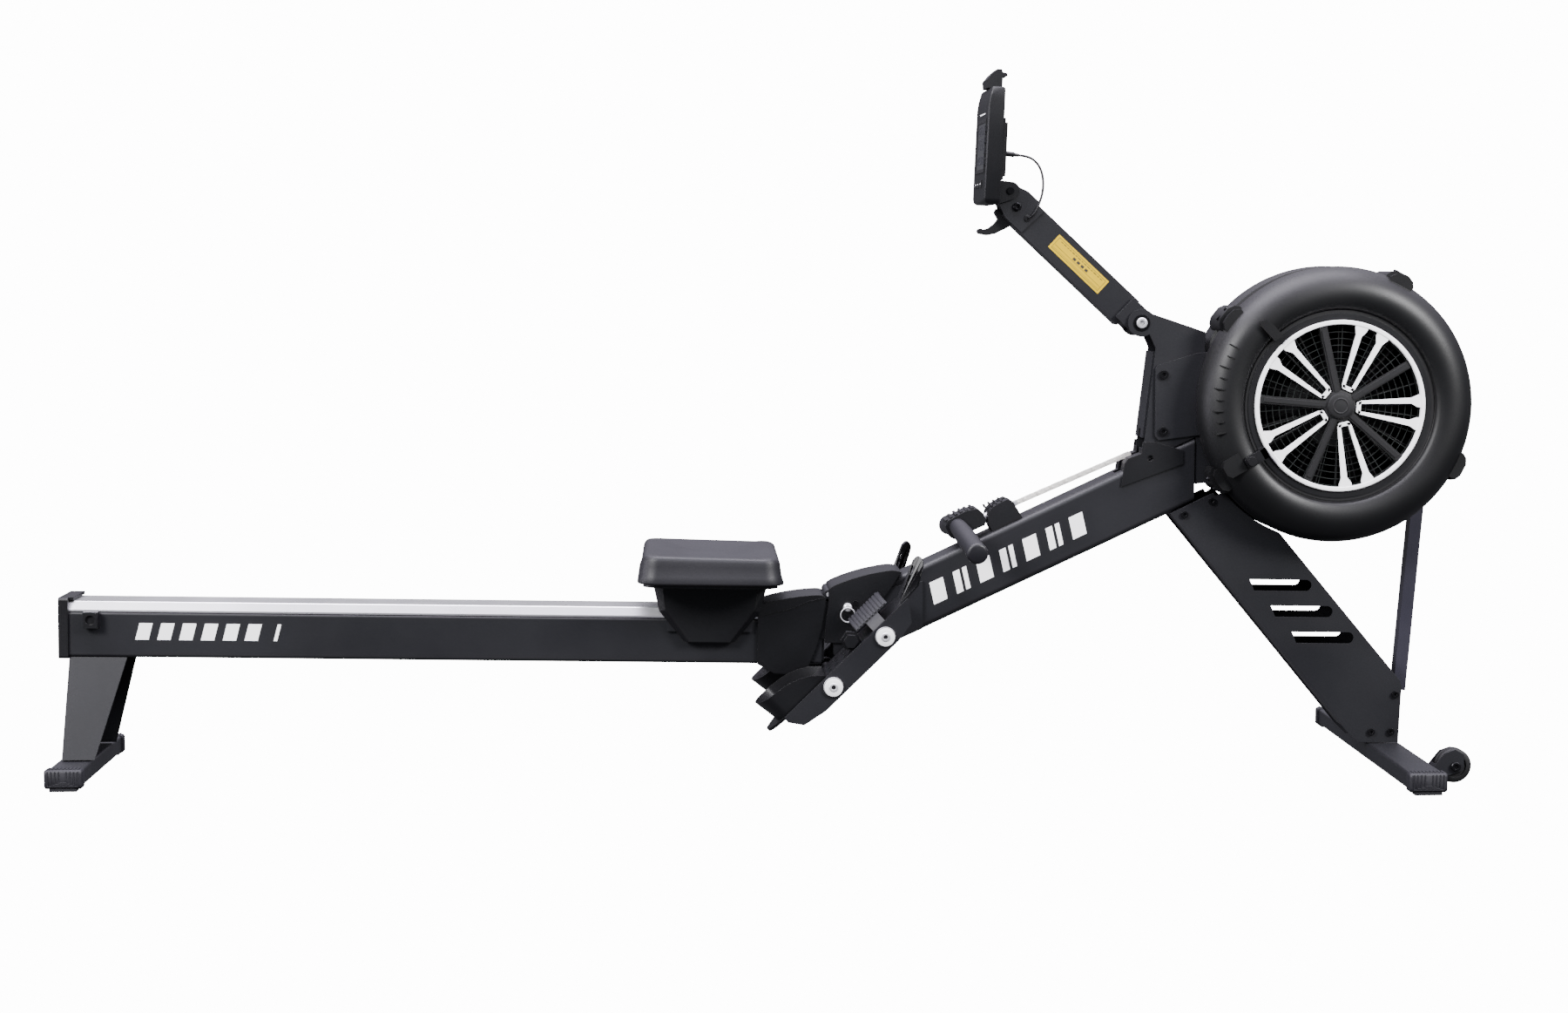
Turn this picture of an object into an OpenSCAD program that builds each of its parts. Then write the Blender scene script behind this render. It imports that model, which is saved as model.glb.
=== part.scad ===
// Air-resistance rowing machine.
// Origin on the floor under the middle of the machine, +X towards the flywheel, +Z up.
// "near" pieces lie on the -Y side, "far" pieces on the +Y side. Millimetres.

/* [Rail] */
// Width of the rail tube
rail_w = 90; // [86:1:94]
// Height of the dark rail tube
rail_h = 76; // [72:1:80]
// Height of the bright track on the rail
track_h = 16.6; // [14:0.2:18]
// Slope of the rail, falling towards the flywheel
rail_slope = 1.12; // [0.8:0.01:1.4]
// Height of the rail's underside below the origin
rail_z = 180.5; // [178:0.5:183]
// Rear end of the rail tube
rail_back = -1160; // [-1164:1:-1140]

/* [Main frame] */
// Angle of the main beam above the floor
beam_angle = 24.8; // [24.6:0.1:25]
// Depth of the main beam
beam_h = 98; // [96:1:100]
// Width of the main beam
beam_w = 80; // [78:1:80]
// Thickness of the sheet-steel plates
plate_t = 4; // [3:0.5:5]

/* [Feet] */
// Half length of the front foot
front_foot_half = 315; // [300:1:330]
// Half length of the rear foot
rear_foot_half = 167; // [150:1:180]
// Width of a foot's end cap
foot_cap_w = 62.8; // [60:0.2:64]
// Height of a foot's end cap
foot_cap_h = 32; // [30:1:34]
// Radius of a transport wheel
transport_r = 28; // [26:1:28]

/* [Flywheel] */
// Flywheel centre, distance from the origin
wheel_x = 947.7; // [946:0.1:949]
// Flywheel centre, height above the floor
wheel_z = 612; // [610:1:614]
// Outer radius of the housing
housing_r = 230.4; // [228:0.2:232]
// Outer radius of the bright spoke ring
ring_r = 142; // [140:1:144]
// Radius of the fan wheel
fan_r = 196; // [190:1:198]
// Number of fan blades
blades = 24; // [16:1:30]

/* [Seat] */
// Length of the seat pad
seat_l = 236; // [220:1:240]
// Width of the seat pad
seat_w = 300; // [280:2:310]
// Radius of a seat roller
roller_r = 15; // [13:0.5:16]

/* [Handle] */
// Width of the handle across its grips
handle_w = 462; // [440:2:480]
// Radius of a rubber grip
grip_r = 15.5; // [14:0.5:17]

/* [Footrests] */
// Incline of the footrests
foot_angle = 44; // [42:0.5:46]
// Length of a footplate
footplate_l = 285; // [275:1:290]
// Inner side of a footplate, from the middle plane
foot_in = 62; // [60:1:64]
// Outer side of a footplate, from the middle plane
foot_out = 176; // [172:1:180]

/* [Console] */
// Console width
console_w = 170; // [160:2:180]
// Console height
console_h = 190; // [186:1:192]
// Backward lean of the console
console_lean = 2.7; // [2:0.1:4]
// Width of the console arm
arm_w = 48; // [46:1:50]

/* [Hidden] */
$fn = 64;

// Derived sizes and places
rail_front = 92;
rail_top = rail_h + track_h;
seat_x = -97;
fold_x = 104;
fold_z = 297;
foot_tube_z = foot_cap_h / 2 + 4;
rear_foot_x = -(wheel_x + housing_r) + foot_cap_w / 2;
front_foot_x = 1048.6;
beam_z0 = 115.2;
beam_back = 196;
beam_front = 760;
arm_pivot = [628.9, 0, 748.5];
arm_tilt = -136.7;
console_pivot = [408.8, 0, 968.6];
console_base = [372, 0, 947];
foot_origin = [33, 0, 112];
chain_start = [428, 0, 446.5];
chain_end = [632, 0, 534];
handle_at = [334, 0, 412];
dark = "#2b2c33";
plastic = "#26262b";
silver = "#dcdce0";

// Round-cornered rectangle
module round_rect(w, h, r) {
  square([w - 2 * r, h], center = true);
  square([w, h - 2 * r], center = true);
  for (x = [-1, 1], y = [-1, 1])
    translate([x * (w / 2 - r), y * (h / 2 - r)]) circle(r);
}
// Extrudes an outline drawn in Y and Z along X
module along_x(x0, x1) translate([x0, 0, 0]) rotate([90, 0, 90]) linear_extrude(x1 - x0) children();
// Extrudes an outline drawn in X and Z along Y
module along_y(y0, y1) translate([0, y1, 0]) rotate([90, 0, 0]) linear_extrude(y1 - y0) children();
// Both mirror twins about the middle plane
module both() {
  children();
  mirror([0, 1, 0]) children();
}
// Round bar along Y
module bar_y(x, z, r, y0, y1) translate([x, y0, z]) rotate([-90, 0, 0]) cylinder(r = r, h = y1 - y0);
// Socket-head bolt whose head faces -Y
module bolt_y(x, y, z, r, head = 4) {
  difference() {
    bar_y(x, z, r, y - head, y);
    translate([x, y - head - 1, z]) rotate([-90, 0, 0]) cylinder(r = r * 0.5, h = 1 + head * 0.6, $fn = 6);
  }
}
module on_rail() translate([0, 0, rail_z]) rotate([0, rail_slope, 0]) children();
module on_beam() translate([0, 0, beam_z0]) rotate([0, -beam_angle, 0]) children();
module on_foot() translate(foot_origin) rotate([0, -foot_angle, 0]) children();
module on_arm() translate(arm_pivot) rotate([0, arm_tilt, 0]) children();
module on_console() translate(console_base) rotate([0, console_lean, 0]) children();
module at_wheel() translate([wheel_x, 0, wheel_z]) rotate([90, 0, 0]) children();

// ---- Rail ----
module rail_tube() color(dark) on_rail() difference() {
  along_x(rail_back, rail_front) translate([0, rail_h / 2]) round_rect(rail_w, rail_h, 5);
  translate([54, -15.6, rail_h - 10]) cube([60, 31.2, 20]);
  along_x(rail_back - 1, rail_front + 1) translate([0, rail_h / 2]) round_rect(rail_w - 6, rail_h - 6, 3);
}
module rail_track() color(silver) on_rail() difference() {
  along_x(rail_back, rail_front - 80) translate([0, rail_h]) polygon([
    [-rail_w / 2 + 1, 0], [-rail_w / 2 + 1, 3], [-37, track_h - 1], [-36, track_h],
    [36, track_h], [37, track_h - 1], [rail_w / 2 - 1, 3], [rail_w / 2 - 1, 0]
  ]);
  along_x(rail_back - 1, rail_front) translate([0, rail_h]) polygon([[-36, 0], [-32, track_h - 4], [32, track_h - 4], [36, 0]]);
}
module rail_end_cap() color(plastic) on_rail() {
  along_x(rail_back - 16, rail_back) translate([0, 48]) round_rect(98, 102, 5);
  along_x(rail_back, rail_back + 8) translate([0, rail_top + 4.2]) square([84, 5], center = true);
  along_x(rail_back, rail_back + 20) translate([0, rail_h / 2]) round_rect(rail_w - 6.4, rail_h - 6.4, 3);
}
module rail_stops() color(plastic) on_rail() both()
  translate([-1133, -rail_w / 2 - 15, 50]) difference() {
    cube([24, 15, 27]);
    translate([12, -1, 13.5]) rotate([-90, 0, 0]) cylinder(r = 8, h = 5);
  }
module leg_block(top_half, bottom_half, inset, z_extra) hull() {
  translate([-1158.6 + inset, -top_half, 203 + z_extra]) cube([95.6 - inset / 2, 2 * top_half, 0.5]);
  translate([-1167 + inset, -bottom_half, 36 - z_extra]) cube([54 - inset / 2, 2 * bottom_half, 0.5]);
}
module rear_leg() color(dark) {
  rear_foot_tube();
  leg_plates();
}
module leg_plates() difference() {
  union() {
    leg_block(44, 84, 0, 0);
    on_rail() along_x(-1158, -1065) translate([0, -3]) square([86, 6], center = true);
  }
  translate([4, 0, 0]) leg_block(41, 81, 0, 1);
  on_rail() translate([-1200, -60, 0]) cube([200, 120, 60]);
}
module rear_foot_tube() difference() {
  along_y(-rear_foot_half + 8, rear_foot_half - 8) translate([rear_foot_x, foot_tube_z]) round_rect(57, 28, 4);
  along_y(-rear_foot_half, rear_foot_half) translate([rear_foot_x, foot_tube_z]) round_rect(51, 22, 2);
}
module foot_cap(x, half) {
  difference() {
    translate([x, -half + 20, foot_tube_z]) rotate([90, 0, 0]) linear_extrude(20) round_rect(foot_cap_w, foot_cap_h, 4);
    translate([x, -half + 21, foot_tube_z]) rotate([90, 0, 0]) linear_extrude(13) round_rect(57.2, 28.2, 4);
    for (s = [-1, 1], k = [0:3])
      translate([x + s * (9 + 6 * k) - 1, -half - 1, foot_tube_z + foot_cap_h / 2 - 1.2]) cube([2, 18, 2]);
  }
  translate([x - 22, -half + 1, 0]) cube([44, 18, 4]);
}
module rear_foot_caps() color(plastic) both() foot_cap(rear_foot_x, rear_foot_half);
module fold_block() color(dark) difference() {
  union() {
    on_rail() along_x(10, rail_front + 4) translate([0, 35]) round_rect(82, 62, 3);
    along_y(-15, 15) polygon([[60, 222], [91, 222], [107, 292], [101, 302], [84, 280], [60, 258]]);
    bar_y(fold_x, fold_z, 7.5, -16, 16);
    for (s = [-1, 1]) along_y(s * 36.5 - 3.5, s * 36.5 + 3.5)
      polygon([[60, 225], [134, 232], [148, 262], [141, 268], [135.5, 264], [129, 268], [118, 252], [60, 246]]);
  }
  bar_y(fold_x, fold_z, 4.05, -17, 17);
}
module rail_cover() color(plastic) difference() {
  hull() {
    along_y(-50, 50) polygon([[-14, 190], [-14, 262], [6, 284], [80, 293], [80, 200]]);
    along_y(-44, 44) polygon([[-14, 180], [10, 166], [70, 166], [80, 200], [80, 295], [10, 288]]);
  }
  on_rail() along_x(-60, 200) translate([0, 46.4]) square([rail_w + 0.8, 93.6], center = true);
  along_y(-46, 46) polygon([[4, 164], [30, 164], [62, 172], [62, 286], [120, 298], [120, 164]]);
}

// ---- Seat ----
module seat_pad() color(plastic) on_rail() intersection() {
  along_y(-160, 160) translate([seat_x, 0]) polygon([
    [-seat_l / 2, 145], [-seat_l / 2 + 3, 186], [-seat_l / 2 + 10, 191.5], [-80, 190], [-50, 182],
    [0, 176.5], [50, 177], [95, 176], [seat_l / 2 - 8, 168], [seat_l / 2, 145]
  ]);
  translate([seat_x, 0, 100]) linear_extrude(120) round_rect(seat_l, seat_w, 34);
}
module seat_plate()  translate([seat_x, 0, 138]) linear_extrude(6.7)
  round_rect(seat_l - 14, seat_w - 16, 28);
module seat_carriage() color(dark) on_rail() {
  seat_plate();
  translate([seat_x, 0, 134]) cube([170, 92, 8], center = true);
  difference() {
    for (s = [-1, 1]) translate([seat_x, s * 41, 114.5]) cube([170, 5, 35], center = true);
    for (x = [-62, 62]) bar_y(seat_x + x, rail_top + roller_r + 0.1, 5.05, -60, 60);
  }
  for (s = [-1, 1], x = [-60, 60]) translate([seat_x + x, s * 47.2, 70]) difference() {
    translate([0, s * 1.9, 24]) cube([22, 3.4, 80], center = true);
    translate([0, 0, -30]) cube([8, 30, 8], center = true);
  }
  for (s = [-1, 1], x = [-60, 60]) translate([seat_x + x, s * 45.8, 127]) cube([22, 12, 6], center = true);
}
module carriage_cover() color(plastic) on_rail() translate([seat_x, 0, 0]) difference() {
  hull() {
    translate([-96, -54, 136.5]) cube([192, 108, 1]);
    translate([-78, -64, 120]) cube([156, 128, 14]);
    translate([-74, -64, 92]) cube([148, 128, 1]);
    translate([-84, -54, 88]) cube([168, 108, 1]);
    translate([-34, -62, 38]) cube([68, 124, 1]);
    translate([-42, -56, 38]) cube([84, 112, 1]);
  }
  translate([-88, -52, 30]) cube([176, 104, 107.9]);
  for (s = [-1, 1]) translate([s * 96 - 20, -49, 30]) cube([40, 98, 107.9]);
}
module roller_set(x) on_rail() translate([seat_x + x, 0, rail_top + roller_r + 0.1]) rotate([90, 0, 0]) {
  cylinder(r = 5, h = 94, center = true);
  for (s = [-1, 1]) translate([0, 0, s * 26]) difference() {
    cylinder(r = roller_r, h = 13, center = true);
    for (f = [-1, 1]) translate([0, 0, f * 7]) rotate_extrude() translate([9, 0]) square([3, 4], center = true);
  }
}
module front_seat_rollers() color(silver) roller_set(62);
module rear_seat_rollers() color(silver) roller_set(-62);

// ---- Main frame ----
module main_beam() color(dark) difference() {
  union() {
    junction_bracket();
    beam_tube();
  }
  on_foot() for (x = [86, 204]) bar_y(x, -14, 8.02, -60, 60);
}
module beam_tube() difference() {
  on_beam() along_x(beam_back / cos(beam_angle), beam_front / cos(beam_angle))
    translate([0, beam_h / 2]) round_rect(beam_w, beam_h, 9);
  on_beam() along_x(0, 1200) translate([0, beam_h / 2]) round_rect(beam_w - 6, beam_h - 6, 6);
  translate([590, -12, 480]) cube([90, 24, 90]);
  translate([720, -45, 400]) cube([80, 90, 300]);
}
module junction_bracket() {
  both() along_y(41.6, 45.6) difference() {
    polygon([[112, 196], [132, 176], [190, 206], [262, 238], [262, 318], [196, 306], [112, 292]]);
    translate([135.5, 276]) circle(4.1);
  }
  both() along_y(40, 41.6) polygon([[204, 240], [262, 262], [262, 318], [204, 300]]);
  along_y(-41.6, 41.6) polygon([[158, 214], [196, 214], [196, 244], [166, 244], [158, 228]]);
  both() difference() {
    union() {
      bar_y(fold_x, fold_z, 7.5, 16.5, 45.6);
      along_y(41.6, 45.6) polygon([[100, 292], [114, 280], [130, 296], [104, 304]]);
    }
    bar_y(fold_x, fold_z, 4.05, 10, 50);
  }
}
module junction_cover() color(plastic) difference() {
  along_y(-50, 50) polygon([
    [104, 306], [128, 317], [156, 326], [182, 332], [210, 336], [226, 333],
    [206, 300], [186, 276], [160, 236], [128, 215], [92, 215], [92, 252], [104, 262]
  ]);
  along_y(-46, 46) polygon([
    [60, 304], [104, 304.8], [104, 304.5], [128, 313], [156, 322], [182, 328], [206, 331.4], [230, 331.4], [230, 180], [60, 180]
  ]);
  translate([135.5, -60, 276]) rotate([-90, 0, 0]) cylinder(r = 7, h = 15);
  translate([135.5, 45, 276]) rotate([-90, 0, 0]) cylinder(r = 7, h = 15);
}
module fold_pin() color(silver) bar_y(fold_x, fold_z, 4, -45.5, 45.5);
module lock_pin() color(silver) {
  bar_y(135.5, 276, 4, -57, -33.5);
  bar_y(135.5, 276, 6.5, -58, -50.5);
}
module pin_ring() color(silver) translate([135.5, -60, 264]) rotate([90, 0, 0]) rotate_extrude() translate([12, 0]) circle(1.2);
module column_outline() polygon([
  [632, 520], [653, 706], [640, 735], [640, 766], [736, 733], [736, 480], [700, 470]
]);
// Room for the lower clip of the housing
module clip_gap() at_wheel() rotate(clip_angles[3]) translate([housing_r + 2, 0, 0]) cube([26, 50, 100], center = true);
module column() color(dark) {
  both() difference() {
    along_y(34, 38) union() {
      column_outline();
      translate([arm_pivot[0], arm_pivot[2]]) circle(23);
    }
    bar_y(arm_pivot[0], arm_pivot[2], 5.05, 20, 50);
    on_beam() along_x(500, 1100) translate([0, beam_h / 2]) square([beam_w + 1, beam_h + 1], center = true);
    clip_gap();
  }
  difference() {
    along_y(-34, 34) polygon([[632, 556], [649, 700], [653, 700], [636, 556]]);
    translate([620, -10, 550]) cube([40, 20, 20]);
  }
  along_y(-34, 34) polygon([[655, 756], [736, 728], [736, 724], [655, 752]]);
}
module wheel_bracket() color(dark) {
  both() along_y(38, 42) difference() {
    polygon([[652, 672], [656, 678], [722, 698], [760, 700], [760, 562], [722, 560], [658, 552], [652, 560]]);
    translate([wheel_x, wheel_z]) circle(214);
  }
  along_y(38, 42) difference() {
    polygon([[722, 560], [722, 664], [wheel_x, 646], [wheel_x, 578]]);
    translate([wheel_x, wheel_z]) circle(20);
  }
  difference() {
    bar_y(wheel_x, wheel_z, 36, 30, 42);
    bar_y(wheel_x, wheel_z, 8.03, 0, 60);
  }
}
module chain_guide() color(plastic) difference() {
  along_y(-43, 43) polygon([[595.7, 474], [601.7, 514], [608, 522], [630, 530], [632, 549], [655, 549], [700, 535], [700, 512]]);
  on_beam() along_x(300, 1100) translate([0, beam_h / 2]) square([beam_w + 0.6, beam_h + 0.6], center = true);
  along_y(-39, 39) polygon([[631, 500], [631, 560], [720, 570], [720, 470]]);
  translate([590, -12, 495]) cube([60, 24, 80]);
  bar_y(645, 522, 5.05, -50, 50);
}
module guide_roller() color(plastic) difference() {
  bar_y(645, 522, 11, -10, 10);
  bar_y(645, 522, 3.03, -20, 20);
  translate([645, 0, 522]) rotate([90, 0, 0]) rotate_extrude() translate([11.5, 0]) square([4, 8], center = true);
}
leg_outline = [
  [679, 429], [984, 56], [1004, 36], [1072.7, 35.5], [1077, 131], [1074, 142], [862, 398], [790, 480], [740, 458]
];
module leg_slot(cx, cz) translate([cx, cz]) rotate(-1) {
  translate([42, 0]) circle(9.5);
  polygon([[-54, 9.5], [42, 9.5], [42, -9.5], [-46, -9.5]]);
}
module front_leg() color(dark) {
  difference() {
    both() along_y(41, 44) difference() {
      polygon(leg_outline);
      for (k = [0:2]) leg_slot(869 + 36.5 * k, 306 - 45 * k);
    }
    at_wheel() cylinder(r = housing_r + 1.5, h = 300, center = true);
    clip_gap();
  }
  along_y(-41, 41) polygon([[690, 420.5], [984, 60], [988, 62.5], [694, 423.5]]);
  along_y(-41, 41) polygon([[1071, 146], [874, 384], [871, 381], [1068, 143]]);
}
module front_stay() color("#4a4958") difference() {
  translate([1082, 0, 120]) rotate([0, 4.6, 0]) translate([-10.5, -12, 0]) cube([21, 24, 322]);
  translate([1082, 0, 120]) rotate([0, 4.6, 0]) translate([-8, -9.5, -1]) cube([16, 19, 330]);
  at_wheel() cylinder(r = housing_r + 0.4, h = 300, center = true);
}
module front_foot_bar() color(dark) {
  caster_brackets();
  front_foot_tube();
}
module front_foot_tube() difference() {
  along_y(-front_foot_half + 8, front_foot_half - 8) translate([front_foot_x, foot_tube_z]) round_rect(57, 28, 4);
  along_y(-front_foot_half, front_foot_half) translate([front_foot_x, foot_tube_z]) round_rect(51, 22, 2);
}
module front_foot_caps() color(plastic) both() foot_cap(front_foot_x, front_foot_half);
caster_x = 1112;
caster_z = 32.5;
module caster_brackets() both() {
  for (y = [-243, -214]) along_y(y, y + 3) difference() {
    polygon([[1077.1, 8], [1077.1, 33], [1094, 54], [1112, 60], [1126, 52], [1126, 26], [1108, 20]]);
    translate([caster_x, caster_z]) circle(4.03);
  }
  along_y(-240, -214) polygon([[1077.1, 8], [1077.1, 33], [1080, 36.6], [1080, 8]]);
}
module transport_wheel(y) difference() {
  bar_y(caster_x, caster_z, transport_r, y - 11, y + 11);
  bar_y(caster_x, caster_z, 4.03, y - 20, y + 20);
  for (s = [-1, 1]) translate([caster_x, y + s * 11, caster_z]) rotate([90, 0, 0])
    rotate_extrude() translate([14, 0]) square([10, 6], center = true);
}
module transport_wheel_near() color(plastic) transport_wheel(-227);
module transport_wheel_far() color(plastic) transport_wheel(227);

// ---- Flywheel ----
// Outer profile of a housing half: radius against distance from the seam
function shell_profile(t) = [
  [housing_r - 10, 0], [housing_r - 3, 10], [housing_r, 34], [housing_r - 3, 56], [housing_r - 14, 76],
  [housing_r - 32, 92], [housing_r - 48, 97], [housing_r - 60, 94], [housing_r - 66, 86], [ring_r + 2, 84],
  [ring_r + 2, 84 - t], [housing_r - 64, 84 - t], [housing_r - 57, 91 - t], [housing_r - 48, 94 - t],
  [housing_r - 34, 89 - t], [housing_r - 17, 73 - t], [housing_r - 3 - t, 52], [housing_r - t, 34],
  [housing_r - 3 - t, 12], [housing_r - 10 - t, 0]
];
seam_y = -20;
module shell_half() rotate_extrude($fn = 128) polygon(shell_profile(3));
module frame_slot() translate([700, -45.5, 455]) cube([70, 91, 262]);
module housing_near() color(plastic) difference() {
  translate([0, seam_y, 0]) at_wheel() shell_half();
  frame_slot();
}
module housing_far() color(plastic) difference() {
  translate([0, seam_y + 0.4, 0]) mirror([0, 1, 0]) at_wheel() shell_half();
  frame_slot();
}
clip_angles = [141, 63, 333, 213];
module rim_clips() color(plastic) translate([0, seam_y, 0]) at_wheel() difference() {
  for (a = clip_angles) rotate(a) translate([housing_r + 3, 0, -20]) linear_extrude(76) round_rect(18, 46, 6);
  cylinder(r = housing_r + 0.2, h = 140, center = true, $fn = 200);
}
module spoke_ring() color(silver) translate([0, seam_y - 84, 0]) at_wheel() linear_extrude(5) {
  difference() {
    circle(ring_r);
    circle(ring_r - 7);
  }
  for (k = [0:4], s = [-1, 1]) rotate(72 * k - 5) rotate(s * 8.6) polygon([
    [31, -s * 2 - 4], [31, -s * 2 + 4], [108, s * -1 + 4.5], [ring_r - 10, 4.5 + 10], [ring_r - 4, 4.5 + 12],
    [ring_r - 4, -4.5 - 12], [ring_r - 10, -4.5 - 10], [108, s * -1 - 4.5]
  ]);
  for (k = [0:4]) rotate(72 * k - 5) translate([30, 0]) round_rect(7, 17, 3);
}
module spoke_cover() color(plastic) translate([0, seam_y - 84, 0]) at_wheel() {
  linear_extrude(4) for (k = [0:4]) rotate(72 * k + 31) translate([20, -6]) square([ring_r - 28.5, 12]);
  cylinder(r = 25.5, h = 4.5);
  cylinder(r = 21, h = 8);
  translate([0, 0, -3]) linear_extrude(2.8) difference() {
    circle(ring_r + 1.8);
    circle(ring_r - 3);
  }
}
module grille() {
  for (r = [40:24:136]) rotate_extrude() translate([r, 0]) square([1.6, 2], center = true);
  linear_extrude(2, center = true) for (k = [0:9]) rotate(36 * k + 4) translate([12, -0.8]) square([ring_r - 13, 1.6]);
  cylinder(r = 16, h = 2, center = true);
}
module inlet_grilles() color(plastic) {
  translate([0, seam_y - 79, 0]) at_wheel() difference() {
    grille();
    cylinder(r = 13, h = 6, center = true);
  }
  translate([0, seam_y + 86, 0]) at_wheel() {
    grille();
    linear_extrude(2, center = true) difference() {
      circle(ring_r + 8);
      circle(ring_r - 6);
    }
  }
}
module damper_lever() color(plastic) translate([0, seam_y - 85, 0]) at_wheel() {
  linear_extrude(5) difference() {
    circle(ring_r + 11);
    circle(ring_r + 1.5);
  }
  rotate(208) translate([ring_r + 1.6, -9, 0]) {
    cube([9, 18, 19]);
    translate([0, 0, 13.4]) cube([39, 18, 5.6]);
  }
}
module fan_wheel() color("#1d1e22") translate([0, -58, 0]) at_wheel() difference() {
  union() {
    cylinder(r = 30, h = 70, center = true);
    translate([0, 0, -34]) cylinder(r = fan_r, h = 3);
    translate([0, 0, 30]) difference() {
      cylinder(r = fan_r, h = 3);
      translate([0, 0, -1]) cylinder(r = fan_r - 30, h = 6);
    }
    for (k = [0:blades - 1]) rotate(360 / blades * k) translate([70, -1, -33]) cube([fan_r - 74, 2, 64]);
  }
  cylinder(r = 8.03, h = 200, center = true);
}
module axle() color(silver) bar_y(wheel_x, wheel_z, 8, -101, 52);
module sprocket() color(silver) translate([0, 0, 0]) at_wheel() difference() {
  union() {
    cylinder(r = 20, h = 24, center = true);
    linear_extrude(3, center = true) {
      circle(32);
      for (k = [0:15]) rotate(22.5 * k) translate([31, 0]) polygon([[0, -3.6], [6, -1], [6, 1], [0, 3.6]]);
    }
  }
  cylinder(r = 8.03, h = 60, center = true);
}
module return_pulley() color(silver) on_beam() translate([420, 0, 42]) rotate([90, 0, 0]) difference() {
  cylinder(r = 20, h = 10, center = true);
  rotate_extrude() translate([21, 0]) circle(4);
  cylinder(r = 4, h = 30, center = true);
}
module shock_cord() color("#15151a") on_beam() {
  for (s = [-1, 1]) translate([444, s * 20, 42]) rotate([0, 90, 0]) cylinder(r = 4, h = 300, $fn = 16);
}

// ---- Handle and chain ----
function tilt_between(a, b) = atan2(b[2] - a[2], b[0] - a[0]);
module on_handle() translate(handle_at) rotate([0, -beam_angle, 0]) children();
module chain() color(silver) translate(chain_start) rotate([0, -tilt_between(chain_start, chain_end), 0]) {
  run = norm(chain_end - chain_start);
  for (s = [-1, 1]) translate([0, s * 3.4 - 0.8, -4]) cube([run, 1.6, 8]);
  for (k = [0:floor(run / 12.7) - 1]) translate([6 + 12.7 * k, -2.7, 0]) rotate([-90, 0, 0]) cylinder(r = 3.6, h = 5.4);
}
module handle_bar() color(dark) on_handle() {
  bar_y(-12, 0, 9, -50, 50);
  for (s = [-1, 1]) translate([-12, s * 50, 0]) rotate([-s * 8, 0, 0]) translate([0, s * 89, 0])
    rotate([90, 0, 0]) cylinder(r = 8.5, h = 180, center = true);
}
module handle_grips() color(plastic) on_handle() for (s = [-1, 1])
  translate([-12, s * 50, 0]) rotate([-s * 8, 0, 0]) translate([0, s * (handle_w / 2 - 50) / 2 + s * 5, 0]) rotate([90, 0, 0]) {
    difference() {
      cylinder(r = grip_r, h = handle_w / 2 - 60, center = true);
      cylinder(r = 8.5, h = 400, center = true);
    }
    translate([0, 0, -s * (handle_w / 4 - 29)]) cylinder(r = grip_r - 1.5, h = 4, center = true);
  }
module handle_block() color(plastic) on_handle() {
  difference() {
    translate([-30, -28, -17]) cube([66, 56, 36]);
    bar_y(-12, 0, 9, -60, 60);
    for (k = [0:4]) translate([-28 + 11 * k, -40, 17]) cube([4, 80, 6]);
  }
  translate([36, -5, -12]) cube([14, 10, 8]);
  translate([46, 0, -8]) rotate([0, 90, 0]) cylinder(r = 5, h = 34);
  translate([80, -5.5, -13]) cube([18, 11, 10]);
}
module handle_cradle() color(plastic) on_beam() difference() {
  along_y(-32, 32) polygon([
    [465, beam_h], [467, beam_h + 26], [474, beam_h + 32], [496, beam_h + 38], [510, beam_h + 37], [517, beam_h + 30], [518, beam_h]
  ]);
  translate([440, -8, beam_h + 9]) cube([100, 16, 40]);
}

// ---- Footrests ----
module footrest_frame() color(dark) on_foot() {
  both() difference() {
    union() {
      along_y(-foot_out, -foot_out + 3) polygon([
        [8, -26], [50, -34], [215, -34], [250, -28], [footplate_l - 12, 2], [footplate_l - 12, 6], [-6, 6], [-8, -4]
      ]);
      along_y(-foot_in - 3, -foot_in) polygon([[20, -34], [215, -34], [240, -28], [240, 4], [0, 4]]);
    }
    for (x = [86, 204]) bar_y(x, -14, 8, -400, 400);
  }
  for (x = [86, 204]) difference() {
    bar_y(x, -14, 8, -foot_out - 0.2, foot_out + 0.2);
    bar_y(x, -14, 5, -foot_out - 1, foot_out + 1);
  }
  for (x = [86, 204], s = [-1, 1]) bar_y(x, -14, 16, s * (foot_out + 2.2) - 2, s * (foot_out + 2.2) + 2);
  for (x = [86, 204], s = [-1, 1]) difference() {
    bar_y(x, -14, 14, s * 54 - 7.8, s * 54 + 7.8);
    bar_y(x, -14, 8, -200, 200);
  }
}
module foot_plates() color(plastic) on_foot() both() difference() {
  union() {
    translate([0, -foot_out + 3.2, 0]) cube([footplate_l - 30, foot_out - foot_in - 6.4, 5]);
    translate([0, -(foot_out + foot_in) / 2, 0]) difference() {
      cylinder(r = 45, h = 5);
      translate([0, -60, -1]) cube([60, 120, 8]);
    }
    translate([footplate_l - 30, -150, 0]) rotate([0, 8, 0]) cube([84, 44, 4]);
    translate([footplate_l + 52, -128, -12]) rotate([0, 8, 0]) cylinder(r = 22, h = 4);
  }
  for (k = [0:4]) translate([footplate_l - 10 + 13 * k, -144, -20]) cube([6, 12, 60]);
  for (k = [0:4]) translate([footplate_l - 10 + 13 * k, -124, -20]) cube([6, 12, 60]);
  for (k = [0:5]) translate([60 + 18 * k, -140, -1]) cube([8, 40, 3]);
}
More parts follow.
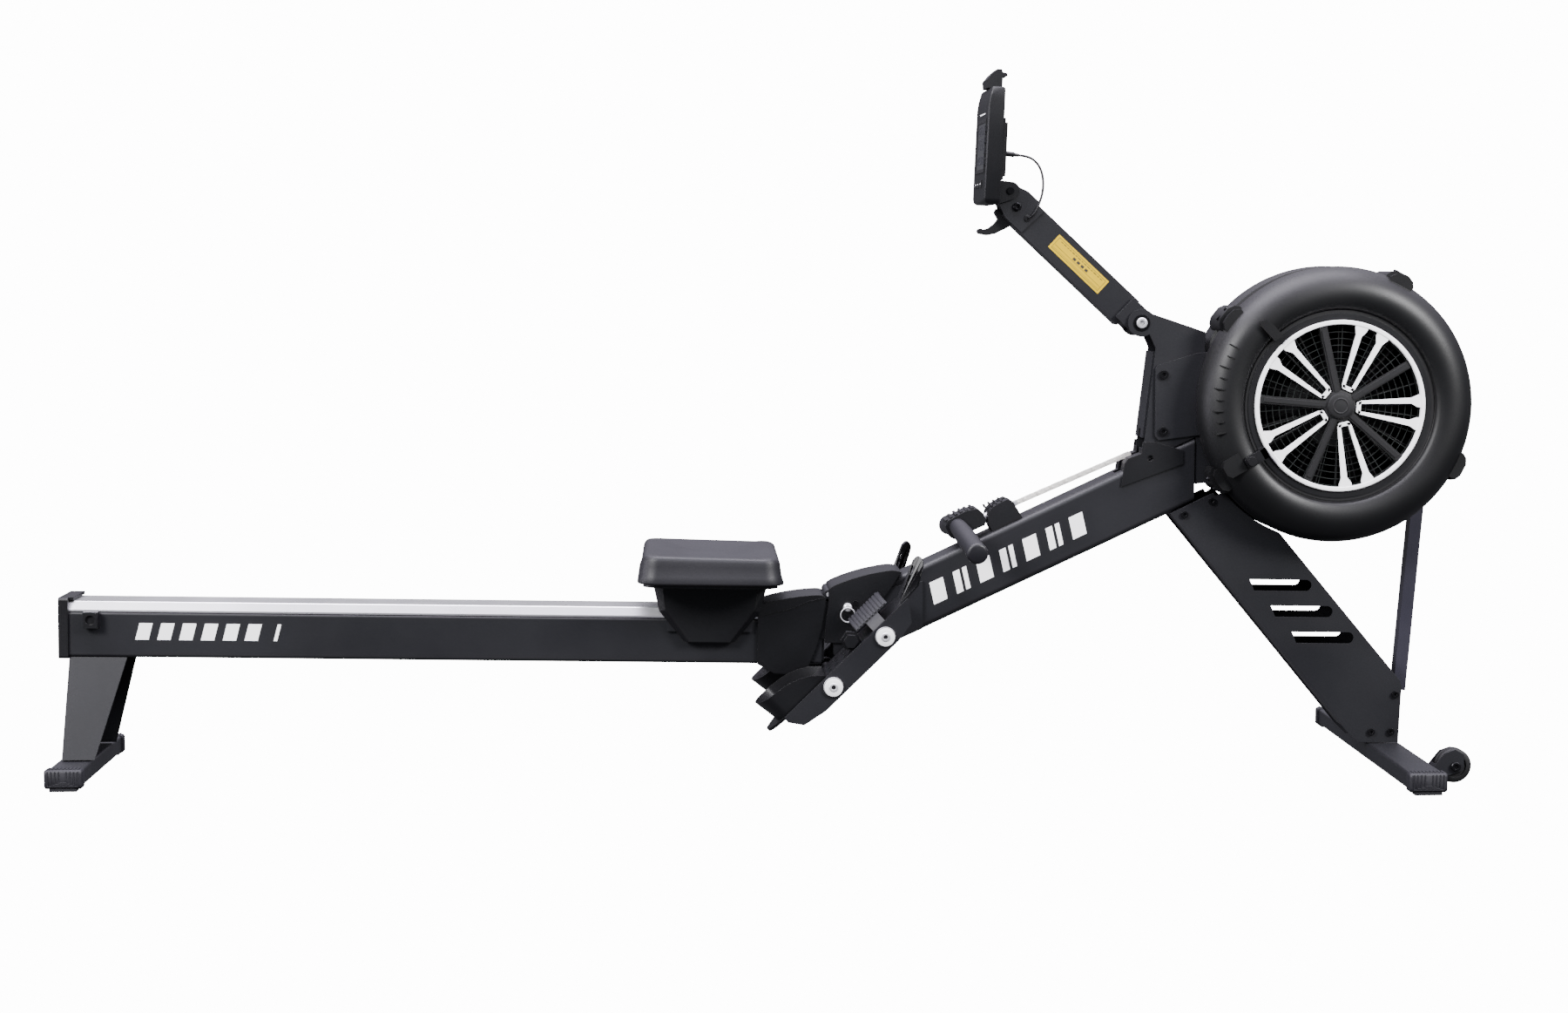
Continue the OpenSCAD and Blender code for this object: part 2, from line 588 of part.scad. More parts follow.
module heel_cup() on_foot() difference() {
  hull() {
    along_y(-foot_out + 5, -foot_in - 5) polygon([[-14, 5.4], [-20, 44], [-8, 52], [20, 48], [70, 26], [90, 5.4]]);
  }
  hull() {
    along_y(-foot_out + 9, -foot_in - 9) polygon([[-4, 9.4], [-4, 60], [140, 60], [140, 9.4]]);
  }
  translate([-40, -(foot_out + foot_in) / 2 - 30, 20]) cube([60, 60, 60]);
}
module heel_cup_near() color(plastic) heel_cup();
module heel_cup_far() color(plastic) mirror([0, 1, 0]) heel_cup();
module foot_straps() color(dark) on_foot() both() difference() {
  translate([0, -(foot_out + foot_in) / 2, 0]) intersection() {
    rotate([0, 90, 0]) translate([22, 0, 150]) difference() {
      cylinder(r = 62, h = 78);
      translate([0, 0, -1]) cylinder(r = 58, h = 90);
    }
    translate([140, -70, 6.2]) cube([110, 140, 80]);
  }
  for (x = [149, 202]) translate([x, -190, 0]) cube([24, 140, 25]);
}

// ---- Console ----
module console_arm() color(dark) on_arm() {
  difference() {
    along_x(26, 292) translate([0, 2.5]) square([arm_w, 54], center = true);
    along_x(20, 300) translate([0, 2.5]) square([arm_w - 6, 48], center = true);
  }
  difference() {
    along_y(-33.2, 33.2) intersection() {
      union() {
        circle(22);
        translate([0, -22]) square([44, 44]);
      }
      translate([-30, -30]) square([68, 60]);
    }
    translate([-60, -29, -60]) cube([120, 58, 120]);
    bar_y(0, 0, 5.05, -80, 80);
  }
  for (s = [-1, 1]) translate([26, s * 28 - 5, -20]) cube([12, 10, 40]);
  for (s = [-1, 1]) along_y(s * 22.5 - 1.5, s * 22.5 + 1.5) polygon([[286, -22], [316, -20], [324, 0], [318, 14], [286, 26]]);
  bar_y(311.1, -9.2, 4, -32, 32);
  for (s = [-1, 1]) along_y(s * 8 - 3, s * 8 + 3) polygon([
    [270, 26], [274, 44], [279, 58], [287, 69], [296, 75], [302, 75], [303, 71], [297, 66], [293, 58], [291, 46], [291, 26]
  ]);
}
module console_case() color(plastic) on_console() difference() {
  union() {
    translate([-14, -console_w / 2, 12]) cube([27, console_w, console_h - 38]);
    hull() {
      translate([-14, -console_w / 2 + 2, 2]) cube([1, console_w - 4, 20]);
      translate([12, -console_w / 2, -1]) cube([1, console_w, 20]);
    }
    hull() {
      translate([-14, -console_w / 2, 140]) cube([27, console_w, 1]);
      translate([-6, -console_w / 2 + 12, 168]) cube([18, console_w - 24, 22]);
    }
    translate([13, -56, 40]) cube([9, 112, 98]);
    difference() {
      both() along_y(27.6, 32.6) hull() {
        translate([35.74, 23.31]) circle(r = 15);
        translate([14, 8]) circle(r = 8);
        translate([14, 32]) circle(r = 6);
      }
      bar_y(35.74, 23.31, 4.05, -40, 40);
    }
  }
  translate([-15, -64, 56]) cube([3, 116, 76]);
  for (k = [0:3]) translate([-15, -75, 62 + 18 * k]) cube([6, 8, 11]);
  for (k = [0:2]) translate([-15, -44 + 34 * k, 26]) cube([6, 20, 12]);
  translate([-9, -console_w / 2 + 3, 14]) cube([18, console_w - 6, 40]);
}
module screen() color("#11141a") on_console() translate([-14.2, -63.8, 56.2]) cube([2.2, 115.6, 75.6]);
module side_button(k) color("#6a6a72") on_console() translate([-15.4, -74.8, 62.2 + 18 * k]) cube([3, 7.6, 10.6]);
module side_button_1() side_button(0);
module side_button_2() side_button(1);
module side_button_3() side_button(2);
module side_button_4() side_button(3);

module phone_holder() color(plastic) on_console() difference() {
  along_y(-34, 34) polygon([[-6, 190.2], [-4, 206], [10, 222], [20, 220], [28, 212], [24, 209], [16, 213], [12, 206], [12, 190.2]]);
  translate([-20, -22, 196]) cube([26, 44, 20]);
}
module cable_plug() {
  translate([403, 0, 1031]) rotate([0, 97, 0]) cylinder(r = 4, h = 16);
  translate([418.5, 0, 1029]) rotate([0, 97, 0]) cylinder(r = 3, h = 8);
}
// Route of the console cable, from its plug to the grommet in the arm
cable_route = [
  [426.4, 0, 1028], [433, -1, 1027], [441, -3, 1025], [449, -5, 1021], [456, -8, 1014], [461, -11, 1005], [464, -14, 994],
  [465, -17, 982], [464, -20, 970], [461, -23, 957], [456, -26, 945], [451, -28, 935], [446, -29, 928], [440, -28, 923.5], [437, -25.4, 922.5]
];
cable_sides = 8;
cable_r = 1.8;
function cable_dir(k) = let (a = cable_route[max(k - 1, 0)], b = cable_route[min(k + 1, len(cable_route) - 1)]) (b - a) / norm(b - a);
function cable_side(k) = let (c = cross(cable_dir(k), [0.15, 1, 0.1])) c / norm(c);
module console_cable() color("#111114") {
  cable_plug();
  cable_tube();
}
module cable_tube() polyhedron(
  points = [for (k = [0:len(cable_route) - 1], s = [0:cable_sides - 1])
    let (u = cable_side(k), v = cross(u, cable_dir(k)), a = 360 / cable_sides * s)
    cable_route[k] + cable_r * (u * cos(a) + v * sin(a))],
  faces = concat(
    [for (k = [0:len(cable_route) - 2], s = [0:cable_sides - 1]) let (t = (s + 1) % cable_sides, n = cable_sides * k)
      [n + s, n + t, n + t + cable_sides, n + s + cable_sides]],
    [[for (s = [cable_sides - 1:-1:0]) s], [for (s = [0:cable_sides - 1]) cable_sides * (len(cable_route) - 1) + s]]
  )
);

// ---- Fasteners ----
module fasteners() color("#8d8d94") both() {
  for (p = [[666, 662], [666, 567]]) bolt_y(p[0], -42, p[1], 7.5);
  for (p = [[703, 427], [749, 449.3], [1026, 54], [1059.5, 54], [1066, 118]]) bolt_y(p[0], -44, p[1], 6);
  bolt_y(arm_pivot[0], -38, arm_pivot[2], 8);
  bar_y(arm_pivot[0], arm_pivot[2], 5, -35, 0.01);
}

rail_tube();
rail_track();
rail_end_cap();
rail_stops();
rear_leg();
rear_foot_caps();
fold_block();
rail_cover();
seat_pad();
seat_carriage();
carriage_cover();
front_seat_rollers();
rear_seat_rollers();
main_beam();
junction_cover();
fold_pin();
lock_pin();
pin_ring();
column();
wheel_bracket();
chain_guide();
guide_roller();
front_leg();
front_stay();
front_foot_bar();
front_foot_caps();
transport_wheel_near();
transport_wheel_far();
housing_near();
housing_far();
rim_clips();
spoke_ring();
spoke_cover();
inlet_grilles();
damper_lever();
fan_wheel();
axle();
sprocket();
return_pulley();
shock_cord();
handle_bar();
handle_grips();
handle_block();
handle_cradle();
chain();
footrest_frame();
foot_plates();
heel_cup_near();
heel_cup_far();
foot_straps();
console_arm();
console_case();
screen();
phone_holder();
side_button_1();
side_button_2();
side_button_3();
side_button_4();
console_cable();
fasteners();
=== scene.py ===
"""Looks of the rowing machine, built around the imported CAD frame. Sizes are in metres."""
import math
import random

import bmesh
import bpy
from mathutils import Matrix, Vector
from mathutils.geometry import tessellate_polygon


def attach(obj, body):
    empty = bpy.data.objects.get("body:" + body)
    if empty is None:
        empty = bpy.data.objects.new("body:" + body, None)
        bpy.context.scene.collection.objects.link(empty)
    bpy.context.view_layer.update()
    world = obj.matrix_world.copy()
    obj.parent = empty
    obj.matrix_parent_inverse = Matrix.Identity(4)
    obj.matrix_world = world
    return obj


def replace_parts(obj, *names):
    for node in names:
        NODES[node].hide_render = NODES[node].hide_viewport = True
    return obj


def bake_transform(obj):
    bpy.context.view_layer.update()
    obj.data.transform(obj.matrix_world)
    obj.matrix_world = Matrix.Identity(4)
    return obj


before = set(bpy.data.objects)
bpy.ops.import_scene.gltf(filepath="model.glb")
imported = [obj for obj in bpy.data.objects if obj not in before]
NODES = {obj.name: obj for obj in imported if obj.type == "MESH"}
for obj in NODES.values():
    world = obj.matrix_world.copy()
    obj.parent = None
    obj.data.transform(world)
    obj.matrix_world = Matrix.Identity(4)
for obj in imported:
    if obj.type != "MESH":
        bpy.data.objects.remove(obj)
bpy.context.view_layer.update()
MM = 0.001
RNG = random.Random(7)

# Driving places, the same as the CAD's
WHEEL = Vector((947.7, 0, 612)) * MM
BEAM_ANGLE = math.radians(24.8)
BEAM_ORIGIN = Vector((0, 0, 115.2)) * MM
RAIL_SLOPE = math.radians(1.12)
RAIL_ORIGIN = Vector((0, 0, 180.5)) * MM
FOOT_ANGLE = math.radians(44)
FOOT_ORIGIN = Vector((33, 0, 112)) * MM
ARM_ORIGIN = Vector((628.9, 0, 748.5)) * MM
ARM_TILT = math.radians(-136.7)
CONSOLE_ORIGIN = Vector((372, 0, 947)) * MM
CONSOLE_LEAN = math.radians(2.7)
HANDLE_ORIGIN = Vector((334, 0, 412)) * MM


def placed(origin, turn):
    """Frame of a tilted group: its origin, turned about Y."""
    return Matrix.Translation(origin) @ Matrix.Rotation(turn, 4, "Y")


ON_RAIL = placed(RAIL_ORIGIN, RAIL_SLOPE)
ON_BEAM = placed(BEAM_ORIGIN, -BEAM_ANGLE)
ON_FOOT = placed(FOOT_ORIGIN, -FOOT_ANGLE)
ON_ARM = placed(ARM_ORIGIN, ARM_TILT)
ON_CONSOLE = placed(CONSOLE_ORIGIN, CONSOLE_LEAN)
ON_HANDLE = placed(HANDLE_ORIGIN, -BEAM_ANGLE)
AT_WHEEL = Matrix.Translation(WHEEL)
WORLD = Matrix.Identity(4)


# ---------------------------------------------------------------- camera
def make_camera():
    yaw, pitch, roll = math.radians(-2.1989), math.radians(5.4375), math.radians(-0.195)
    right = Vector((math.cos(yaw), math.sin(yaw), 0))
    level = Vector((-math.sin(yaw), math.cos(yaw), 0))
    forward = level * math.cos(pitch) + Vector((0, 0, -math.sin(pitch)))
    up = level * math.sin(pitch) + Vector((0, 0, math.cos(pitch)))
    image_right = right * math.cos(roll) + up * math.sin(roll)
    image_up = up * math.cos(roll) - right * math.sin(roll)
    data = bpy.data.cameras.new("camera")
    data.sensor_width = 36
    data.lens = 59.64
    data.clip_end = 100
    cam = bpy.data.objects.new("camera", data)
    turn = Matrix((image_right, image_up, -forward)).transposed().to_4x4()
    cam.matrix_world = Matrix.Translation(Vector((-0.1358, -4.358, 0.8564))) @ turn
    bpy.context.scene.collection.objects.link(cam)
    bpy.context.scene.camera = cam


make_camera()


# ---------------------------------------------------------------- materials
def material(name, colour, rough=0.5, metal=0.0, grain=900, bump=0.1, tone=0.25, coat=0.0,
             bevel=0.6, stretch=(1, 1, 1), smear=0.12, mottle=6.0, gloss=0.32):
    """Procedural surface: tone drifts and smears over it, and a fine grain lifts it."""
    m = bpy.data.materials.new(name)
    m.use_nodes = True
    nodes, links = m.node_tree.nodes, m.node_tree.links
    shader = nodes["Principled BSDF"]
    shader.inputs["Metallic"].default_value = metal
    shader.inputs["Coat Weight"].default_value = coat
    shader.inputs["Coat Roughness"].default_value = 0.25
    shader.inputs["Specular IOR Level"].default_value = gloss
    place = nodes.new("ShaderNodeTexCoord")
    scale = nodes.new("ShaderNodeMapping")
    scale.inputs["Scale"].default_value = stretch
    links.new(place.outputs["Object"], scale.inputs["Vector"])
    drift = nodes.new("ShaderNodeTexNoise")
    drift.inputs["Scale"].default_value = mottle
    drift.inputs["Detail"].default_value = 6
    links.new(place.outputs["Object"], drift.inputs["Vector"])
    ramp = nodes.new("ShaderNodeValToRGB")
    ramp.color_ramp.elements[0].position = 0.3
    ramp.color_ramp.elements[1].position = 0.7
    low, high = 1 - tone, 1 + tone
    ramp.color_ramp.elements[0].color = [min(1, c * low) for c in colour] + [1]
    ramp.color_ramp.elements[1].color = [min(1, c * high) for c in colour] + [1]
    links.new(drift.outputs["Fac"], ramp.inputs["Fac"])
    links.new(ramp.outputs["Color"], shader.inputs["Base Color"])
    fine = nodes.new("ShaderNodeTexNoise")
    fine.inputs["Scale"].default_value = grain
    fine.inputs["Detail"].default_value = 3
    links.new(scale.outputs["Vector"], fine.inputs["Vector"])
    spread = nodes.new("ShaderNodeMapRange")
    spread.inputs["To Min"].default_value = max(0.02, rough - smear)
    spread.inputs["To Max"].default_value = min(1, rough + smear)
    links.new(drift.outputs["Fac"], spread.inputs["Value"])
    links.new(spread.outputs["Result"], shader.inputs["Roughness"])
    lift = nodes.new("ShaderNodeBump")
    lift.inputs["Strength"].default_value = bump
    lift.inputs["Distance"].default_value = 0.0004
    links.new(fine.outputs["Fac"], lift.inputs["Height"])
    if bevel:
        soft = nodes.new("ShaderNodeBevel")
        soft.samples = 4
        soft.inputs["Radius"].default_value = bevel * MM
        links.new(soft.outputs["Normal"], lift.inputs["Normal"])
    links.new(lift.outputs["Normal"], shader.inputs["Normal"])
    return m


PAINT = material("powder_coat", (0.00473, 0.00473, 0.00653), 0.5, grain=1600, bump=0.16, tone=0.1, coat=0.12)
# The stay's tone is the powder coat made about four times brighter and bluer. It is painted light standing in for
# the lavender sheen of the stay's lit faces. The screen's digits reuse it as their own grey.
STAY_LIT_AND_DIGIT_TONE = material("stay_lit_and_digit_tone", (0.018, 0.0168, 0.0258), 0.42, grain=1600, bump=0.14, tone=0.12, coat=0.15)
PLASTIC = material("moulded_plastic", (0.00293, 0.00293, 0.00383), 0.42, grain=1900, bump=0.2, tone=0.15)
SHELL = material("shell_plastic", (0.0018, 0.0018, 0.00225), 0.46, grain=1500, bump=0.14, tone=0.15, bevel=0)
MATT_PLASTIC = material("matt_plastic", (0.0027, 0.0027, 0.00337), 0.6, grain=1400, bump=0.3, tone=0.2)
RIB_RUBBER = material("rib_rubber", (0.0072, 0.0069, 0.0096), 0.55, grain=1100, bump=0.3, tone=0.2)
GRIP = material("grip_rubber", (0.0072, 0.0069, 0.0093), 0.45, grain=1300, bump=0.35, tone=0.18)
FOAM = material("seat_skin", (0.0063, 0.006, 0.0081), 0.5, grain=700, bump=0.5, tone=0.15, bevel=0)
TRACK = material("track_aluminium", (0.8, 0.8, 0.82), 0.28, 0.9, grain=260, bump=0.12, tone=0.05,
                 stretch=(0.02, 1, 1), smear=0.06)
STEEL = material("bright_steel", (0.66, 0.66, 0.68), 0.3, 0.6, grain=500, bump=0.1, tone=0.08, smear=0.08)
CHAIN = material("chain_plate", (0.72, 0.7, 0.66), 0.3, 0.35, grain=900, bump=0.1, tone=0.15, smear=0.1)
SPOKE = material("spoke_satin", (0.97, 0.97, 0.98), 0.4, 0.0, grain=900, bump=0.06, tone=0.03, smear=0.06)
WASHER = material("washer_white", (0.93, 0.93, 0.94), 0.4, 0.15, grain=900, bump=0.08, tone=0.04)
FAN = material("fan_black", (0.0018, 0.0018, 0.00225), 0.4, grain=900, bump=0.15, tone=0.2)
WIRE = material("grille_wire", (0.03, 0.034, 0.033), 0.35, 0.4, grain=900, bump=0.05, tone=0.1, bevel=0)
CORD = material("cord_black", (0.004, 0.004, 0.005), 0.4, grain=900, bump=0.1, tone=0.1, bevel=0)
BOLT = material("bolt_black", (0.009, 0.009, 0.01035), 0.32, 0.7, grain=900, bump=0.08, tone=0.15)
GLASS = material("screen_glass", (0.0027, 0.00315, 0.00405), 0.12, coat=0.6, grain=300, bump=0.02, tone=0.1,
                 smear=0.04)
KEY = material("key_rubber", (0.0096, 0.0096, 0.012), 0.5, grain=900, bump=0.15, tone=0.1)
DECAL = material("decal_white", (0.97, 0.97, 0.97), 0.45, grain=900, bump=0.05, tone=0.02, bevel=0)
LABEL = material("label_yellow", (0.5, 0.33, 0.0), 0.45, grain=900, bump=0.05, tone=0.03, bevel=0)
INK = material("label_ink", (0.03, 0.028, 0.02), 0.5, grain=900, bump=0.05, tone=0.03, bevel=0)
ROLLER = material("roller_nylon", (0.4, 0.4, 0.42), 0.35, grain=800, bump=0.1, tone=0.08)


def dress(mat, *names):
    """Gives CAD nodes a better material."""
    for n in names:
        NODES[n].data.materials.clear()
        NODES[n].data.materials.append(mat)


dress(PAINT, "rail_tube", "rear_leg", "fold_block", "main_beam", "column", "wheel_bracket", "front_leg",
      "front_foot_bar", "footrest_frame", "console_arm", "seat_carriage")
# The stay is dressed in the painted-lit copy of the powder coat.
dress(STAY_LIT_AND_DIGIT_TONE, "front_stay")
dress(TRACK, "rail_track")
dress(PLASTIC, "rail_end_cap", "rail_stops", "rail_cover", "junction_cover", "chain_guide", "console_case",
      "phone_holder", "carriage_cover", "handle_cradle", "handle_block", "rim_clips", "damper_lever",
      "heel_cup_near", "heel_cup_far", "foot_plates")
dress(SHELL, "housing_near", "housing_far", "spoke_cover")
dress(RIB_RUBBER, "rear_foot_caps", "front_foot_caps", "foot_straps")
dress(GRIP, "handle_grips")
dress(FOAM, "seat_pad")
dress(MATT_PLASTIC, "transport_wheel_near", "transport_wheel_far")
dress(STEEL, "fold_pin", "lock_pin", "pin_ring", "axle", "handle_bar", "sprocket")
dress(ROLLER, "front_seat_rollers", "rear_seat_rollers", "guide_roller", "return_pulley")
dress(CHAIN, "chain")
dress(SPOKE, "spoke_ring")
dress(FAN, "fan_wheel", "inlet_grilles")
dress(CORD, "shock_cord", "console_cable")
dress(GLASS, "screen")
dress(KEY, "side_button_1", "side_button_2", "side_button_3", "side_button_4")
dress(BOLT, "fasteners")


# ---------------------------------------------------------------- mesh tools
def add_piece(name, bm, mat, body, smooth=True, sharp=35):
    """Turns a bmesh into a piece that rides on a body."""
    bmesh.ops.remove_doubles(bm, verts=bm.verts, dist=1e-6)
    bmesh.ops.recalc_face_normals(bm, faces=bm.faces)
    mesh = bpy.data.meshes.new(name)
    bm.to_mesh(mesh)
    bm.free()
    obj = bpy.data.objects.new(name, mesh)
    bpy.context.scene.collection.objects.link(obj)
    mesh.materials.append(mat)
    if smooth:
        for f in mesh.polygons:
            f.use_smooth = True
        mesh.set_sharp_from_angle(angle=math.radians(sharp))
    if body:
        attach(obj, body)
    return obj


def bevelled(bm, width, steps=2, angle=30):
    """Rounds the edges of a bmesh that are sharper than the angle."""
    if width:
        edges = [e for e in bm.edges if len(e.link_faces) == 2 and e.calc_face_angle(0) > math.radians(angle)]
        bmesh.ops.bevel(bm, geom=edges, offset=width * MM, segments=steps, profile=0.6, affect="EDGES",
                        clamp_overlap=True)
    return bm


def prism(bm, outline, y0, y1, at=WORLD):
    """Extrudes an outline of (x, z) millimetres from y0 to y1, in the frame given."""
    rings = []
    for y in (y0, y1):
        rings.append([bm.verts.new(at @ (Vector((x, y, z)) * MM)) for x, z in outline])
    n = len(outline)
    bm.faces.new(rings[0])
    bm.faces.new(rings[1][::-1])
    for i in range(n):
        j = (i + 1) % n
        bm.faces.new((rings[0][i], rings[0][j], rings[1][j], rings[1][i]))
    return bm


def block(bm, low, high, at=WORLD):
    """Box between two corners in millimetres."""
    (x0, y0, z0), (x1, y1, z1) = low, high
    return prism(bm, [(x0, z0), (x1, z0), (x1, z1), (x0, z1)], y0, y1, at)


def lathe(bm, profile, centre, steps=96, closed=True, a0=0.0, a1=360.0):
    """Turns a profile of (radius, y) millimetres about the Y axis through the centre."""
    whole = abs(a1 - a0) >= 360
    count = steps if whole else steps + 1
    rings = []
    for k in range(count):
        a = math.radians(a0 + (a1 - a0) * k / steps)
        rings.append([bm.verts.new(centre + Vector((r * math.cos(a), y, r * math.sin(a))) * MM)
                      for r, y in profile])
    n = len(profile)
    for k in range(steps):
        p, q = rings[k], rings[(k + 1) % count]
        for i in range(n if closed else n - 1):
            j = (i + 1) % n
            bm.faces.new((p[i], p[j], q[j], q[i]))
    if not whole and closed:
        bm.faces.new(rings[0])
        bm.faces.new(rings[-1][::-1])
    return bm


def join_rings(bm, rings):
    """Walls between rings of vertices that close on themselves."""
    count = len(rings[0])
    for p, q in zip(rings, rings[1:]):
        for i in range(count):
            j = (i + 1) % count
            bm.faces.new((p[i], p[j], q[j], q[i]))


def tube(bm, points, radius, sides=12, caps=True, at=WORLD):
    """Sweeps a round section along points in millimetres; radius is a number or one per point."""
    pts = [at @ (Vector(p) * MM) for p in points]
    radii = radius if isinstance(radius, (list, tuple)) else [radius] * len(pts)
    side = None
    rings = []
    for k, p in enumerate(pts):
        way = (pts[min(k + 1, len(pts) - 1)] - pts[max(k - 1, 0)]).normalized()
        if side is None:
            side = way.orthogonal().normalized()
        side = (side - way * side.dot(way)).normalized()
        other = way.cross(side)
        rings.append([bm.verts.new(p + (side * math.cos(a) + other * math.sin(a)) * radii[k] * MM)
                      for a in [2 * math.pi * i / sides for i in range(sides)]])
    join_rings(bm, rings)
    if caps:
        bm.faces.new(rings[0][::-1])
        bm.faces.new(rings[-1])
    return bm


def bezier(points, steps=8):
    """Catmull-Rom curve through points."""
    out = []
    for k in range(len(points) - 1):
        p = [Vector(points[max(0, min(len(points) - 1, k + d))]) for d in (-1, 0, 1, 2)]
        for s in range(steps):
            t = s / steps
            out.append(0.5 * (2 * p[1] + (p[2] - p[0]) * t + (2 * p[0] - 5 * p[1] + 4 * p[2] - p[3]) * t * t
                              + (3 * p[1] - p[0] - 3 * p[2] + p[3]) * t ** 3))
    out.append(Vector(points[-1]))
    return out


def smooth_line(points, steps=8):
    return [(p.x / MM, p.z / MM) for p in [q * MM for q in bezier([(x, 0, z) for x, z in points], steps)]]


# ---------------------------------------------------------------- console cable
# The same route as the CAD's, from the plug to the grommet in the arm
CABLE_ROUTE = [
    (426.4, 0, 1028), (433, -1, 1027), (441, -3, 1025), (449, -5, 1021), (456, -8, 1014), (461, -11, 1005),
    (464, -14, 994), (465, -17, 982), (464, -20, 970), (461, -23, 957), (456, -26, 945), (451, -28, 935),
    (446, -29, 928), (440, -28, 923.5), (437, -25.4, 922.5)]


def make_cable():
    fine = bezier(CABLE_ROUTE, 3)
    plug = tube(bmesh.new(), [(402.5, 0, 1031), (418, 0, 1029), (418.5, 0, 1029), (425, 0, 1028.2),
                              (427, 0, 1028)],
                [4.4, 4.4, 3.4, 2.8, 2.0], 20)
    plug_piece = add_piece("console_plug", plug, CORD, "console")
    cable = add_piece("console_cable_lead", tube(bmesh.new(), fine, 2.1, 12), CORD, None)
    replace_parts(cable, "console_cable")
    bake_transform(cable)
    grommet = lathe(bmesh.new(), [(1.9, -28), (5.5, -27.6), (6.5, -26.4), (6.5, -24), (1.9, -24)],
                    Vector((437, 0, 922.5)) * MM, 24)
    add_piece("cable_grommet", grommet, PLASTIC, "arm")


make_cable()


# ---------------------------------------------------------------- flywheel housing
def torus_profile(sign, middle, seam):
    """Outer and inner outline of a shell half; sign is the way the half faces along Y."""
    outer = [(220, seam), (227.5, seam + sign * 0.6), (229, seam + sign * 3), (229, seam + sign * 8),
             (225, seam + sign * 9.5), (221, seam + sign * 11)]
    for k in range(25):
        t = math.radians(-38 + (118 + 38) * k / 24)
        outer.append((184 + 46 * math.cos(t), middle + sign * 50 * math.sin(t)))
    face = middle + sign * 38
    outer += [(160.5, face + sign * 2.5), (159.5, face), (156, face - sign * 1.2), (144, face - sign * 1.2),
              (143, face - sign * 2), (143, face - sign * 5)]
    inner = [(156, face - sign * 5), (163, middle + sign * 30)]
    for k in range(9):
        t = math.radians(100 - (100 + 50) * k / 8)
        inner.append((183 + 42 * math.cos(t), middle + sign * 44 * math.sin(t)))
    inner.append((214, seam + sign * 4))
    inner.append((217, seam))
    return outer + inner


def make_housing():
    centre = Vector((WHEEL.x, 0, WHEEL.z))
    near = lathe(bmesh.new(), torus_profile(-1, -66, -20), centre, 144)
    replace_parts(add_piece("housing_near_shell", near, SHELL, "frame", sharp=50),
                "housing_near")
    far = lathe(bmesh.new(), torus_profile(1, 27, -19.5), centre, 144)
    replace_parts(add_piece("housing_far_shell", far, SHELL, "frame", sharp=50),
                "housing_far")
    strip = lathe(bmesh.new(), [(218, -33), (223.4, -33), (223.9, -35), (223.4, -37), (218, -37)], centre, 96,
                  a0=150, a1=205)
    add_piece("seam_strip", strip, STEEL, "frame")
    clips = bmesh.new()
    screws = bmesh.new()
    for angle in (141, 63, 333, 213):
        turn = AT_WHEEL @ Matrix.Rotation(-math.radians(angle), 4, "Y")
        outline = [(222, -25), (230, -25), (238, -20), (243, -10), (243, 10), (238, 20), (230, 25), (222, 25)]
        prism(clips, outline, -80, 3, turn)
        outline = [(214, -19), (228, -21), (236, -14), (238, 0), (236, 14), (228, 21), (214, 19)]
        prism(clips, outline, -93, -78, turn)
        for d in (-14, 14):
            head = [turn @ (Vector((243 + e, -62, d * 0.7)) * MM) for e in (-3, 2)]
            tube(screws, [p / MM for p in head], 4.6, 20)
    bevelled(clips, 3.2, 3)
    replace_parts(add_piece("rim_clip_set", clips, SHELL, "frame"), "rim_clips")
    add_piece("rim_clip_screws", bevelled(screws, 0.7, 2), BOLT, "frame")


def spoke_pair(bm, angle, y0, y1):
    """Two bright spokes from the hub to the ring, flared where they meet it."""
    turn = AT_WHEEL @ Matrix.Rotation(-math.radians(angle), 4, "Y")
    for s in (-1, 1):
        ends = [(30, s * 3.6), (34, s * 6.2), (118, s * 13.5), (129, s * 8.5), (135.8, s * 8.5)]
        back = [(135.8, s * 30), (129, s * 29.5), (118, s * 23.5), (34, s * 11.4), (30, s * 9)]
        prism(bm, [(x, z) for x, z in (ends + back)[::s]], y0, y1, turn)
    prism(bm, [(27.5, -7), (29, -9), (34.5, -10.5), (34.5, 10.5), (29, 9), (27.5, 7)], y0, y1, turn)


